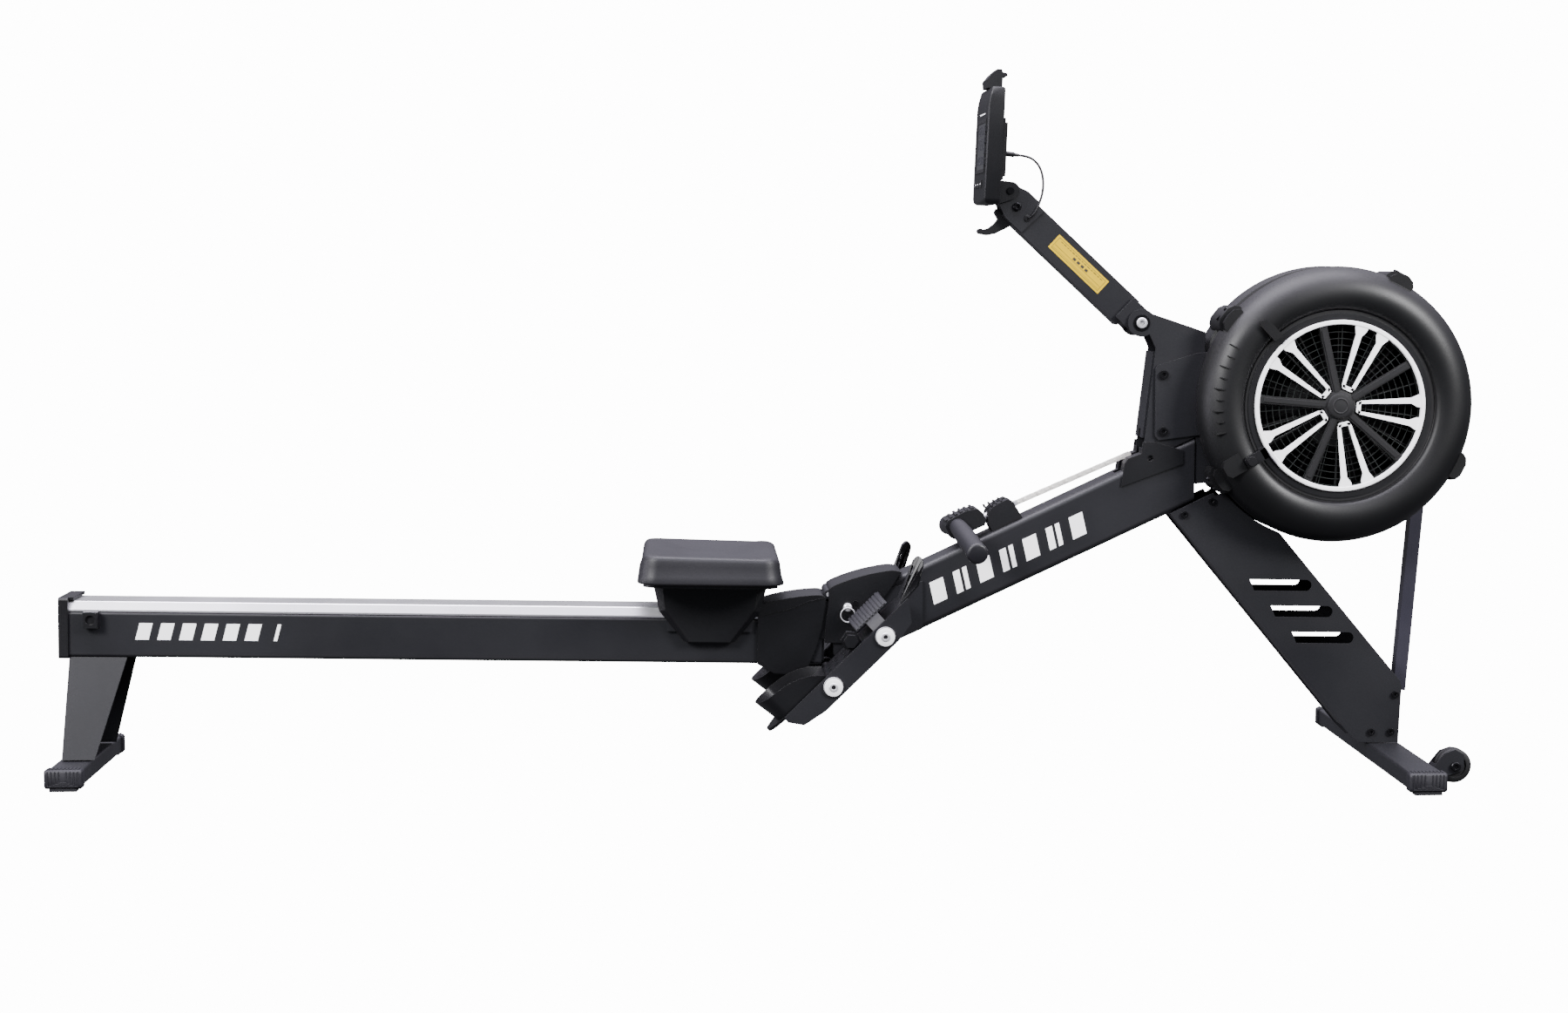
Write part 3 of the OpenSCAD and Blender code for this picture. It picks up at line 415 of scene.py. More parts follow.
def make_spokes():
    centre = Vector((WHEEL.x, 0, WHEEL.z))
    bright = bmesh.new()
    lathe(bright, [(134.5, -109), (135.5, -110.2), (140.5, -110.2), (142, -109), (142, -104), (134.5, -104)],
          centre, 144)
    for k in range(5):
        spoke_pair(bright, 72 * k - 5, -109.2, -104.5)
    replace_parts(add_piece("spoke_ring_cover", bevelled(bright, 0.8, 2, 50), SPOKE, "frame"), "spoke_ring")
    black = bmesh.new()
    for k in range(5):
        turn = AT_WHEEL @ Matrix.Rotation(-math.radians(72 * k + 31), 4, "Y")
        prism(black, [(18, -9), (24, -6.5), (134.5, -6.5), (134.5, 6.5), (24, 6.5), (18, 9)], -107, -102,
              turn)
        prism(black, [(24, -3.6), (128, -3.9), (128, 3.9), (24, 3.6)], -108.4, -106.5, turn)
    lathe(black, [(0.01, -108), (22, -108), (26, -106.5), (27, -103), (0.01, -103)], centre, 72)
    lathe(black, [(143, -104.5), (158, -104.5), (158, -100), (134, -100), (134, -103.4), (143, -103.4)],
          centre, 144)
    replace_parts(add_piece("dark_spoke_cover", bevelled(black, 0.6, 2, 50), MATT_PLASTIC, "frame"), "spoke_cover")
    cap = lathe(bmesh.new(), [(0.01, -112.6), (16, -112.4), (19.6, -111.6), (21, -110), (21, -107),
                              (0.01, -107)], centre, 72)
    lathe(cap, [(10.5, -112.5), (12, -113.2), (13.5, -112.5)], centre, 72)
    add_piece("hub_cap", cap, MATT_PLASTIC, "frame")
    for name, y in (("grille_near", -99), ("grille_far", 66)):
        wires = bmesh.new()
        for r in range(34, 141, 11):
            ring = [(r + 0.55 * math.cos(a),
                     y + 0.55 * math.sin(a)) for a in [math.pi / 3 * i for i in range(6)]]
            lathe(wires, ring, centre, 96)
        for k in range(30):
            a = math.radians(12 * k + 4)
            way = Vector((math.cos(a), 0, math.sin(a)))
            tube(wires, [WHEEL / MM + way * 22 + Vector((0, y + 1.8, 0)),
                         WHEEL / MM + way * 143 + Vector((0, y + 1.2, 0))], 0.6, 6)
        lathe(wires, [(0.01, y), (24, y), (24, y + 3.5), (0.01, y + 3.5)], centre, 48)
        piece = add_piece(name, wires, WIRE, "frame")
        if y < 0:
            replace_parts(piece, "inlet_grilles")
    lever = lathe(bmesh.new(), [(144, -105.8), (153, -105.8), (153, -104.4), (144, -104.4)], centre, 144)
    turn = AT_WHEEL @ Matrix.Rotation(-math.radians(211), 4, "Y")
    prism(lever, [(144, -9), (153.5, -9), (153.5, 9), (144, 9)], -124, -105.2, turn)
    prism(lever, [(144, -9), (179, -10), (184, -6), (184, 6), (179, 10), (144, 9)], -124, -118.4, turn)
    knob = [turn @ (Vector((174, y, 0)) * MM) / MM for y in (-122, -131)]
    tube(lever, knob, 7.5, 24)
    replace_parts(add_piece("damper_ring", bevelled(lever, 1.6, 3, 50), PLASTIC, "damper"),
                "damper_lever")
    tab = prism(bmesh.new(), [(152, -8), (178, -9), (192, -5), (196, 2), (190, 8), (156, 8)], -122, -100,
                AT_WHEEL @ Matrix.Rotation(-math.radians(133.5), 4, "Y"))
    lug = AT_WHEEL @ Matrix.Rotation(-math.radians(209), 4, "Y")
    prism(tab, [(186, -16), (214, -14), (220, -6), (220, 8), (214, 16), (186, 16)], -119, -92, lug)
    for k in range(9):
        step = AT_WHEEL @ Matrix.Rotation(-math.radians(151 + 5.2 * k), 4, "Y")
        prism(tab, [(196, -0.9), (207 if k % 2 else 212, -0.9), (207 if k % 2 else 212, 0.9), (196, 0.9)],
              -116.2, -104, step)
    add_piece("damper_stop", bevelled(tab, 2, 3), SHELL, "frame")


make_housing()
make_spokes()


# ---------------------------------------------------------------- seat
SEAT_X = -97
SEAT_TOP = [(-118, 187), (-104, 191.5), (-84, 191), (-50, 186), (-10, 183), (35, 184), (70, 187.5),
            (98, 189), (118, 186)]


def seat_height(x, y):
    """Height of the seat's top at (x, y) millimetres from its middle."""
    x = max(SEAT_TOP[0][0], min(SEAT_TOP[-1][0] - 0.01, x))
    k = max(i for i in range(len(SEAT_TOP) - 1) if SEAT_TOP[i][0] <= x)
    (x0, z0), (x1, z1) = SEAT_TOP[k], SEAT_TOP[k + 1]
    t = (x - x0) / (x1 - x0)
    base = z0 + (z1 - z0) * t * t * (3 - 2 * t)
    hip = math.exp(-(((x - 4) / 52) ** 2)) * math.exp(-(((abs(y) - 78) / 62) ** 2))
    groove = math.exp(-((y / 16) ** 2)) * (0.3 + 0.7 * max(0, min(1, -x / 80)))
    return base - 9 * hip - 4 * groove


def make_seat():
    bm = bmesh.new()
    corner, half_l, half_w, count = 30, 117, 149, 96

    def rim(scale_in):
        """Rounded rectangle, drawn in by a distance."""
        pts = []
        a, b, r = half_l - scale_in, half_w - scale_in, max(4, corner - scale_in * 0.4)
        for cx, cy, start in ((a - r, b - r, 0), (-a + r, b - r, 90), (-a + r, -b + r, 180),
                              (a - r, -b + r, 270)):
            for k in range(count // 4):
                t = math.radians(start + 90 * k / (count // 4 - 1))
                pts.append((cx + r * math.cos(t), cy + r * math.sin(t)))
        return pts

    levels = [(2, 0, 143.2), (-2.5, 0, 144.2), (-3.5, 0, 147), (0, 0, 157), (2.4, 0.5, None),
              (3.2, 0.72, None),
              (4.6, 0.88, None), (7.5, 0.97, None), (12, 1.0, None), (26, 1,
                      None), (44, 1, None), (64, 1, None), (86, 1, None)]
    rings = []
    for inset, share, fixed in levels:
        ring = []
        for x, y in rim(inset):
            if fixed:
                z = fixed
            else:
                top = seat_height(x, y)
                z = 158 + (top - 158) * share
            ring.append(bm.verts.new(ON_RAIL @ (Vector((SEAT_X + x, y, z)) * MM)))
        rings.append(ring)
    n = len(rings[0])
    join_rings(bm, rings)
    bm.faces.new(rings[0][::-1])
    crown = bm.verts.new(ON_RAIL @ (Vector((SEAT_X, 0, seat_height(0, 0))) * MM))
    for i in range(n):
        bm.faces.new((rings[-1][i], rings[-1][(i + 1) % n], crown))
    pad = add_piece("seat_cushion", bm, FOAM, "seat", sharp=80)
    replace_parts(pad, "seat_pad")


make_seat()


# ---------------------------------------------------------------- handle and chain
PITCH = 12.7
CHAIN_START = Vector((428, 0, 446.5))
CHAIN_END = Vector((632, 0, 534))
PULL = Vector((-0.993767, 0, 0.111476)) * 1000


def grip_radius(y):
    """Thickness of the grip at a distance from the middle: slim at the elbow, full in the hand."""
    return 14.6 + 2.2 * math.sin(min(1, max(0, y - 54) / 90) * math.pi / 2)


def make_handle():
    grips = bmesh.new()
    for s in (-1, 1):
        route = [(-12, s * y, -max(0, y - 54) * math.tan(math.radians(8))) for y in range(28, 231, 6)]
        radii = [grip_radius(abs(spot[1])) for spot in route]
        tube(grips, route, radii, 28, at=ON_HANDLE)
        end = [(-12, s * y, -(y - 54) * math.tan(math.radians(8))) for y in (226, 229, 231.5, 233)]
        tube(grips, end, [17.4, 17.4, 16.4, 13], 28, at=ON_HANDLE)
    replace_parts(add_piece("rubber_grips", grips, GRIP, "handle", sharp=50), "handle_grips")
    body = bmesh.new()
    prism(body, [(-31, -10), (-26, -16), (30, -16), (36, -10), (36, 4), (30, 15), (10, 19), (-24, 17),
                 (-31, 10)],
          -30, 30, ON_HANDLE)
    bevelled(body, 4, 3)
    for k in range(6):
        block(body, (-27 + 9.6 * k, -28, 10), (-22.5 + 9.6 * k, 28, 22 - abs(k - 2.5)), ON_HANDLE)
    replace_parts(add_piece("handle_hub", body, PLASTIC, "handle"), "handle_block")
    swivel = bmesh.new()
    tube(swivel, [(34, 0, -8), (50, 0, -8), (50.5, 0, -8), (58, 0, -8)], [7, 7, 4.6, 4.6], 24, at=ON_HANDLE)
    tube(swivel, [(58, 0, -8), (60, 0, -8), (82, 0, -8), (84, 0, -8)], [4, 5.6, 5.6, 4], 24, at=ON_HANDLE)
    block(swivel, (83, -5.2, -12), (98, -2.2, -4), ON_HANDLE)
    block(swivel, (83, 2.2, -12), (98, 5.2, -4), ON_HANDLE)
    add_piece("chain_swivel", swivel, STEEL, "handle")


def make_dock():
    """Two cheeks on the beam, with the chain's swivel running between them."""
    bm = bmesh.new()
    cheek = smooth_line([(465, 98.3), (465.5, 112), (468, 124), (474, 131), (484, 135.5), (496, 137)], 4)
    cheek += [(510, 137), (517.5, 129), (520.5, 98.3)]
    for s in (-1, 1):
        prism(bm, cheek, s * 8.5, s * 32, ON_BEAM)
    block(bm, (468, -30, 98.3), (517, 30, 106), ON_BEAM)
    bevelled(bm, 2, 3)
    for k in range(4):
        block(bm, (472 + 9 * k, -29, 134), (475 + 9 * k, -12, 139.4), ON_BEAM)
        block(bm, (472 + 9 * k, 12, 134), (475 + 9 * k, 29, 139.4), ON_BEAM)
    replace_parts(add_piece("handle_dock", bm, PLASTIC, "frame", sharp=45), "handle_cradle")


def link_pair(bm, centre, way, up, less):
    """One inner and one outer link of roller chain, centred at a point and drawn in by less millimetres."""
    side = Vector((0, 1, 0))

    def plate(offset, y, half_t):
        outline = []
        for cx, start in ((PITCH / 2, -100), (-PITCH / 2, 80)):
            for k in range(7):
                t = math.radians(start + 200 * k / 6)
                outline.append((offset + cx + (4.1 - less) * math.cos(t), (4.1 - less) * math.sin(t)))
        layers = []
        for e in (-half_t, half_t):
            layers.append([bm.verts.new((centre + way * x + up * z + side * (y + e)) * MM) for x,
                           z in outline])
        bm.faces.new(layers[0])
        bm.faces.new(layers[1][::-1])
        n = len(outline)
        for i in range(n):
            j = (i + 1) % n
            bm.faces.new((layers[0][i], layers[0][j], layers[1][j], layers[1][i]))

    for s in (-1, 1):
        plate(-PITCH / 2, s * (2.6 - less / 2), 0.6 - less / 4)
        plate(PITCH / 2, s * (4.2 - less / 2), 0.6 - less / 4)
    for x in (-PITCH, 0):
        tube(bm, [centre + way * x - side * (2 - less / 2), centre + way * x + side * (2 - less / 2)],
             3.7 - less, 12)
        tube(bm, [centre + way * x - side * (5.4 - less), centre + way * x + side * (5.4 - less)],
             1.7 - less / 2, 8)


def make_chain():
    """Link pairs that lie on each other at their rest places along the run; how far each would travel at full pull
    is worked out but not used.
    """
    run = CHAIN_END - CHAIN_START
    slots = int(run.length // (2 * PITCH))
    full = CHAIN_END - (CHAIN_START + PULL)
    pairs = int(full.length // (2 * PITCH))
    levels = {}
    way, up = run.normalized(), Vector((-run.normalized().z, 0, run.normalized().x))
    for k in range(pairs):
        share = 1 - (k + 0.5) * 2 * PITCH / full.length
        goal = CHAIN_END - full * share
        seat = min(slots - 1, int((1 - share) * slots))
        rest = CHAIN_START + way * (seat + 0.5) * 2 * PITCH
        weight = max(0.001, min(0.999, (goal - rest).dot(PULL) / PULL.length_squared))
        bm = bmesh.new()
        level = levels.get(seat, 0)
        levels[seat] = level + 1
        link_pair(bm, rest, way, up, 0.12 * level)
        piece = add_piece("chain_links_%02d" % (k + 1), bm, CHAIN, None)
        low, high = 0.0, 1.0
        for _ in range(40):
            mid = (low + high) / 2
            if mid * mid * (3 - 2 * mid) < weight:
                low = mid
            else:
                high = mid
        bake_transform(piece)
        if k == 0:
            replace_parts(piece, "chain")


make_handle()
make_dock()
make_chain()


# ---------------------------------------------------------------- plates with holes, skins
def holed_plate(bm, outline, holes, low, high, spot):
    """Plate with holes; spot(u, v, w) places a point of the outline at a depth w."""
    loops = [outline] + holes
    flat = [Vector((u, v, 0)) for loop in loops for u, v in loop]
    faces = tessellate_polygon([[Vector((u, v, 0)) for u, v in loop] for loop in loops])
    layers = [[bm.verts.new(spot(p.x, p.y, w)) for p in flat] for w in (low, high)]
    for tri in faces:
        if len(set(tri)) == 3:
            bm.faces.new([layers[0][i] for i in tri])
            bm.faces.new([layers[1][i] for i in reversed(tri)])
    start = 0
    for loop in loops:
        n = len(loop)
        for i in range(n):
            a, b = start + i, start + (i + 1) % n
            bm.faces.new((layers[0][a], layers[0][b], layers[1][b], layers[1][a]))
        start += n
    return bm


def skin(bm, points, y0, y1, thick, at=WORLD):
    """Sheet that follows points of (x, z) millimetres, as wide as y0 to y1, thickened below."""
    under = []
    for k, (x, z) in enumerate(points):
        ax, az = points[max(k - 1, 0)]
        bx, bz = points[min(k + 1, len(points) - 1)]
        size = math.hypot(bx - ax, bz - az)
        under.append((x + thick * (bz - az) / size, z - thick * (bx - ax) / size))
    return prism(bm, points + under[::-1], y0, y1, at)


# ---------------------------------------------------------------- covers of the folding joint
def make_covers():
    top = smooth_line([(-14, 279), (12, 287), (45, 293), (75, 296), (92, 296), (100, 292)])
    bm = bmesh.new()
    side = top + [(96, 268), (92, 240), (82, 206), (66, 168), (40, 163), (12, 165), (-16, 181)]
    for s in (-1, 1):
        prism(bm, side, s * 46.2, s * 50)
    skin(bm, top, -48, 48, 3)
    skin(bm, [(66, 168), (40, 163), (12, 165), (-16, 181)], -48, 48, 3)
    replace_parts(add_piece("rail_end_shroud", bevelled(bm, 1.6, 2, 40), PLASTIC, "rail"),
                "rail_cover")
    lip = smooth_line([(-10, 262), (12, 268), (40, 274), (66, 285), (96, 292)])
    rim = bmesh.new()
    for s in (-1, 1):
        skin(rim, lip, s * 50, s * 50.7, 1.2)
    add_piece("shroud_crease", rim, PLASTIC, "rail")
    crown = smooth_line([(104, 303), (108, 309), (128, 318), (156, 327), (182, 333), (210, 337), (226, 334)])
    cover = bmesh.new()
    face = crown + [(214, 316), (200, 296), (186, 276), (160, 236), (128, 215), (97, 216), (99, 250),
                    (104, 285)]
    for s in (-1, 1):
        prism(cover, face, s * 46.2, s * 50.2)
    skin(cover, crown, -49, 49, 3.4)
    for s in (-1, 1):
        prism(cover, [(88, 222), (112, 222), (112, 286), (88, 284)], s * 43.2, s * 45.8)
    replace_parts(add_piece("junction_shroud", bevelled(cover, 1.4, 2, 40), PLASTIC, "frame"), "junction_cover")
    web = bmesh.new()
    prism(web, [(722, 478), (722, 566), (757, 566), (757, 506), (742, 480)], -37, 37)
    add_piece("column_web", bevelled(web, 1, 2), PAINT, "frame")
    screw = bmesh.new()
    for s in (-1, 1):
        tube(screw, [(148.7, s * 50, 282.4), (148.7, s * 52.4, 282.4)], 4.6, 20)
    add_piece("shroud_screws", bevelled(screw, 0.6, 2), BOLT, "frame")
    dome = lathe(bmesh.new(), [(0.01, -60.5), (4, -60.2), (6.4, -58.6), (7.4, -56), (7.4, -51), (0.01, -51)],
                 Vector((135.5, 0, 276)) * MM, 32)
    tube(dome, [(135.5, -52, 276), (135.5, -33.5, 276)], 4, 20)
    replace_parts(add_piece("pull_pin", dome, STEEL, "pin"), "lock_pin")
    loop = [(135.5 + 12 * math.sin(t), -60.5,
             264 + 12 * math.cos(t)) for t in [math.radians(6 * k) for k in range(61)]]
    ring = tube(bmesh.new(), loop, 1.1, 10, caps=False)
    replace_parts(add_piece("pull_ring", ring, STEEL, "ring"), "pin_ring")


make_covers()


# ---------------------------------------------------------------- footrests
def oval(cx, cy, half_l, r, steps=8):
    """Slot outline with round ends, lying along x."""
    pts = []
    for x, start in ((cx + half_l, -90), (cx - half_l, 90)):
        pts += [(x + r * math.cos(math.radians(start + 180 * k / steps)),
                 cy + r * math.sin(math.radians(start + 180 * k / steps))) for k in range(steps + 1)]
    return pts


def make_footrests():
    plates, cups, straps = bmesh.new(), {}, bmesh.new()
    for s in (-1, 1):
        mid = s * 119

        def flat(x, y, w):
            return ON_FOOT @ (Vector((x, mid + y, w)) * MM)

        heel = [(44 * math.cos(math.radians(t)) - 1,
                 44 * math.sin(math.radians(t))) for t in range(90, 271, 9)]
        board = heel + [(30, -53.5), (252, -53.5), (258, -50), (258, 50), (252, 53.5), (30, 53.5)]
        grooves = [oval(62 + 17 * k, 0, 3, 3.2, 5) for k in range(6)]
        grooves += [oval(62 + 17 * k, y, 3, 3.2, 5) for k in range(6) for y in (-26, 26)]
        holed_plate(plates, board, grooves, 0, 5, flat)

        def rising(x, y, w):
            away = max(0, min(1, (x - 256) / 60))
            twist = math.radians(58) * away * away * (3 - 2 * away)
            lift = 3 + (x - 256) * 0.34 * away
            side = s * (127 - 8 * away) - s * (y * math.cos(twist) - w * math.sin(twist))
            return ON_FOOT @ (Vector((x, side, lift + y * math.sin(twist) + w * math.cos(twist))) * MM)

        tongue = [(252, -22), (262, -22), (300, -15), (322, -12)]
        tongue += [(324 + 11 * math.cos(math.radians(t)),
                    11 * math.sin(math.radians(t))) for t in range(-80, 81, 16)]
        tongue += [(322, 12), (300, 15), (262, 22), (252, 22)]
        slits = []
        for k in range(4):
            x = 268 + 14 * k
            slits += [oval(x, y, 3.4, 2.6, 5) for y in (-7, 7)]
        holed_plate(plates, tongue, slits, -2.2, 2.2, rising)
        for y in (-53, 53):
            block(plates, (60, mid + y - 2, -16), (236, mid + y + 2, 1), ON_FOOT)

        cup = bmesh.new()
        outside, inside, top_out, top_in = [], [], [], []
        for k in range(41):
            t = math.radians(90 + 180 * k / 40)
            if k in (0, 40):
                continue
            x, y = 4 + 26 * math.cos(t), 48 * math.sin(t)
            high = 45 + 5 * math.cos(t) ** 2
            flare = 7 * abs(math.cos(t))
            outside.append((x, y, 5.4))
            inside.append((x * 1 + 3.5 * -math.cos(t), y - 3.5 * math.sin(t), 5.4))
            top_out.append((x + flare * math.cos(t) * 0.9, y + 3 * math.sin(t), high))
            top_in.append((x + flare * math.cos(t) * 0.9 - 3 * math.cos(t), y + 0.4 * math.sin(t), high))
        for sign, order in ((1, 0), (-1, -1)):
            ends = []
            for x, high in ((20, 43), (38, 40), (56, 33), (72, 24), (88, 9)):
                wide = 48 - 2 * max(0, (x - 56) / 32)
                ends.append(((x, sign * wide, 5.4), (x, sign * (wide - 3.5), 5.4),
                             (x, sign * (wide + 3), high), (x, sign * (wide + 0.4), high)))
            if order == 0:
                for o, i, t, u in ends:
                    outside.insert(0, o)
                    inside.insert(0, i)
                    top_out.insert(0, t)
                    top_in.insert(0, u)
            else:
                for o, i, t, u in ends:
                    outside.append(o)
                    inside.append(i)
                    top_out.append(t)
                    top_in.append(u)
        strips = [[cup.verts.new(ON_FOOT @ (Vector((x, mid + y, z)) * MM)) for x, y, z in line]
                  for line in (outside, top_out, top_in, inside)]
        for a, b in zip(strips, strips[1:] + strips[:1]):
            for i in range(len(a) - 1):
                cup.faces.new((a[i], a[i + 1], b[i + 1], b[i]))
        for i in (0, -1):
            cup.faces.new([line[i] for line in strips])
        sole = [(x, y) for x, y, z in inside]
        holed_plate(cup, sole, [oval(24 + 15 * k, 0, 2, 4, 5) for k in range(4)], 5.4, 9,
                    lambda x, y, w: ON_FOOT @ (Vector((x, mid + y, w)) * MM))
        cups[s] = cup

        arch(straps, mid, 176, 244, 58.4, 61.4, 47, 133)
        for k in range(10):
            arch(straps, mid, 177.5 + 6.6 * k, 181.6 + 6.6 * k, 60.6, 63.2, 48, 132)
        for a0, a1 in ((27.5, 48), (132, 152.5)):
            arch(straps, mid, 196, 222, 58.8, 60.6, a0, a1, 8)
    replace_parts(add_piece("foot_boards", bevelled(plates, 0.7, 1, 50), PLASTIC, "frame",
                          sharp=40), "foot_plates")
    for s, name in ((-1, "near"), (1, "far")):
        piece = add_piece("heel_holder_" + name, cups[s], PLASTIC, "heel_" + name,
                          sharp=60)
        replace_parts(piece, "heel_cup_" + name)
    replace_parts(add_piece("toe_straps", straps, RIB_RUBBER, "frame", sharp=40), "foot_straps")
    knobs = bmesh.new()
    for s in (-1, 1):
        for k, (r, y0, y1) in enumerate(((17, 146, 158), (12, 158, 166))):
            hexagon = [(158 + r * math.cos(math.radians(60 * i + 12)),
                        18 + r * math.sin(math.radians(60 * i + 12))) for i in range(6)]
            prism(knobs, hexagon, s * y0, s * y1, ON_FOOT)
    add_piece("strap_adjusters", bevelled(knobs, 1.6, 2), PLASTIC, "frame")
    washers, heads = bmesh.new(), bmesh.new()
    for x in (86, 204):
        for s in (-1, 1):
            spot = (ON_FOOT @ (Vector((x, 0, -14)) * MM)) / MM
            shape = [(7, s * 176.3), (16, s * 176.3), (16.3, s * 177), (16, s * 179.6), (14.8, s * 180.4),
                     (7, s * 180.6)]
            lathe(washers, shape, spot * MM, 48)
            shape = [(0.01, s * 177), (7.4, s * 177), (7.4, s * 181.4), (6.4, s * 182.4), (3.9, s * 182.6),
                     (3.6, s * 182), (3.4, s * 179.5), (0.01, s * 179.4)]
            lathe(heads, shape, spot * MM, 36)
    add_piece("footrest_washers", washers, WASHER, "frame")
    add_piece("footrest_bolts", heads, STEEL, "frame")


def arch(bm, mid, x0, x1, r0, r1, a0, a1, steps=28):
    """Part of a thick pipe over the foot, between two angles."""
    rows = []
    for k in range(steps + 1):
        t = math.radians(a0 + (a1 - a0) * k / steps)
        rows.append([bm.verts.new(ON_FOOT @ (Vector((x, mid + r * math.cos(t), r * math.sin(t) - 22)) * MM))
                     for x, r in ((x0, r0), (x1, r0), (x1, r1), (x0, r1))])
    join_rings(bm, rows)
    bm.faces.new(rows[0])
    bm.faces.new(rows[-1][::-1])


make_footrests()


# ---------------------------------------------------------------- console
def make_console():
    w = 85
    body = bmesh.new()
    rows = []
    for z, inset, back, front in ((-1, 6, 11, -8), (2, 2, 13, -12), (8, 0, 13, -14), (158, 0, 13, -14),
                                  (172, 0.5, 13, -12.5), (186, 1.5, 13, -9), (189, 3, 12,
                                                                              -8), (190, 6, 10, -6)):
        ring = []
        for x, y in ((front, -w + inset + 2), (front + 2, -w + inset), (back - 2, -w + inset),
                     (back, -w + inset + 3),
                     (back, w - inset - 3), (back - 2, w - inset), (front + 2,
                                                                    w - inset), (front, w - inset - 2)):
            ring.append(body.verts.new(ON_CONSOLE @ (Vector((x, y, z)) * MM)))
        rows.append(ring)
    join_rings(body, rows)
    body.faces.new(rows[0])
    body.faces.new(rows[-1][::-1])
    block(body, (12, -56, 40), (19, 56, 141), ON_CONSOLE)
    block(body, (12, -50, 46), (23.5, 50, 134), ON_CONSOLE)
    for s in (-1, 1):
        ear = []
        for cx, cz, r, a0, a1 in ((35.74, 23.31, 15, -60, 75), (14, 34, 6, 75, 180), (14, 8, 8, 180, 300)):
            ear += [(cx + r * math.cos(math.radians(a0 + (a1 - a0) * k / 10)),
                     cz + r * math.sin(math.radians(a0 + (a1 - a0) * k / 10))) for k in range(11)]
        prism(body, ear, s * 27.6, s * 32.6, ON_CONSOLE)
    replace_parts(add_piece("console_body", bevelled(body, 1.5, 2, 40), PLASTIC, "console",
                          sharp=40),
                "console_case")
    bezel = bmesh.new()
    holed_plate(bezel, [(-70, 50), (58, 50), (58, 138), (-70, 138)],
                [[(-64, 56), (52, 56), (52, 132), (-64, 132)]],
                -15.6, -13.6, lambda y, z, x: ON_CONSOLE @ (Vector((x, y, z)) * MM))
    for k in range(3):
        y = -44 + 34 * k
        block(bezel, (-16, y, 26), (-13.6, y + 22, 38), ON_CONSOLE)
    add_piece("console_bezel", bevelled(bezel, 0.6, 2, 40), MATT_PLASTIC, "console")
    strip = bmesh.new()
    block(strip, (-14.6, -40, 146), (-13.8, 28, 148), ON_CONSOLE)
    for k in range(3):
        block(strip, (-16.3, -40 + 34 * k, 31), (-15.9, -30 + 34 * k, 32.4), ON_CONSOLE)
    add_piece("console_marks", strip, DECAL, "console", smooth=False)
    pane = bmesh.new()
    block(pane, (-14.6, -63.8, 56.2), (-13.2, 51.8, 131.8), ON_CONSOLE)
    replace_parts(add_piece("screen_pane", pane, GLASS, "console"), "screen")
    digits = bmesh.new()
    for z, h, size in ((112, 14, 5), (88, 18, 4), (64, 12, 6)):
        step = 104 / size
        for k in range(size):
            y0 = -56 + step * k
            for dy, dz, wy, hz in ((0, 0, 0.9, h), (step * 0.5, 0, 0.9, h), (0, h, step * 0.5, 0.9),
                                   (0, 0, step * 0.5, 0.9)):
                block(digits, (-14.8, y0 + dy, z + dz), (-14.55, y0 + dy + wy, z + dz + hz), ON_CONSOLE)
    add_piece("screen_segments", digits, STAY_LIT_AND_DIGIT_TONE, "console", smooth=False)
    for k in range(4):
        z = 62.2 + 18 * k
        key = bmesh.new()
        block(key, (-16.8, -74.8, z), (-12.4, -67.2, z + 10.6), ON_CONSOLE)
        piece = add_piece("side_key_%d" % (k + 1), bevelled(key, 0.8, 3), KEY,
                          "side_button_%d_cap" % (k + 1))
        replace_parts(piece, "side_button_%d" % (k + 1))
    clip = bmesh.new()
    hook = [(-12, 190.4), (-13.5, 203), (-5, 214), (3.5, 222), (11, 221.5), (12.6, 217), (20, 215.5),
            (21, 211),
            (14, 210), (13, 206), (13, 190.4)]
    prism(clip, hook, -34, 34, ON_CONSOLE)
    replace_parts(add_piece("phone_rest", bevelled(clip, 1.6, 2, 30), PLASTIC, "phone_clip"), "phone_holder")
    guides = bmesh.new()
    for s in (-1, 1):
        block(guides, (-2, s * 20 - 5, 150), (3, s * 20 + 5, 194), ON_CONSOLE)
    add_piece("phone_rest_guides", guides, STEEL, "phone_clip", smooth=False)
    pivot = bmesh.new()
    tube(pivot, [(35.74, -35, 23.31), (35.74, 35, 23.31)], 6, 24, at=ON_CONSOLE)
    add_piece("console_pivot", bevelled(pivot, 0.8, 2), BOLT, "console")


make_console()


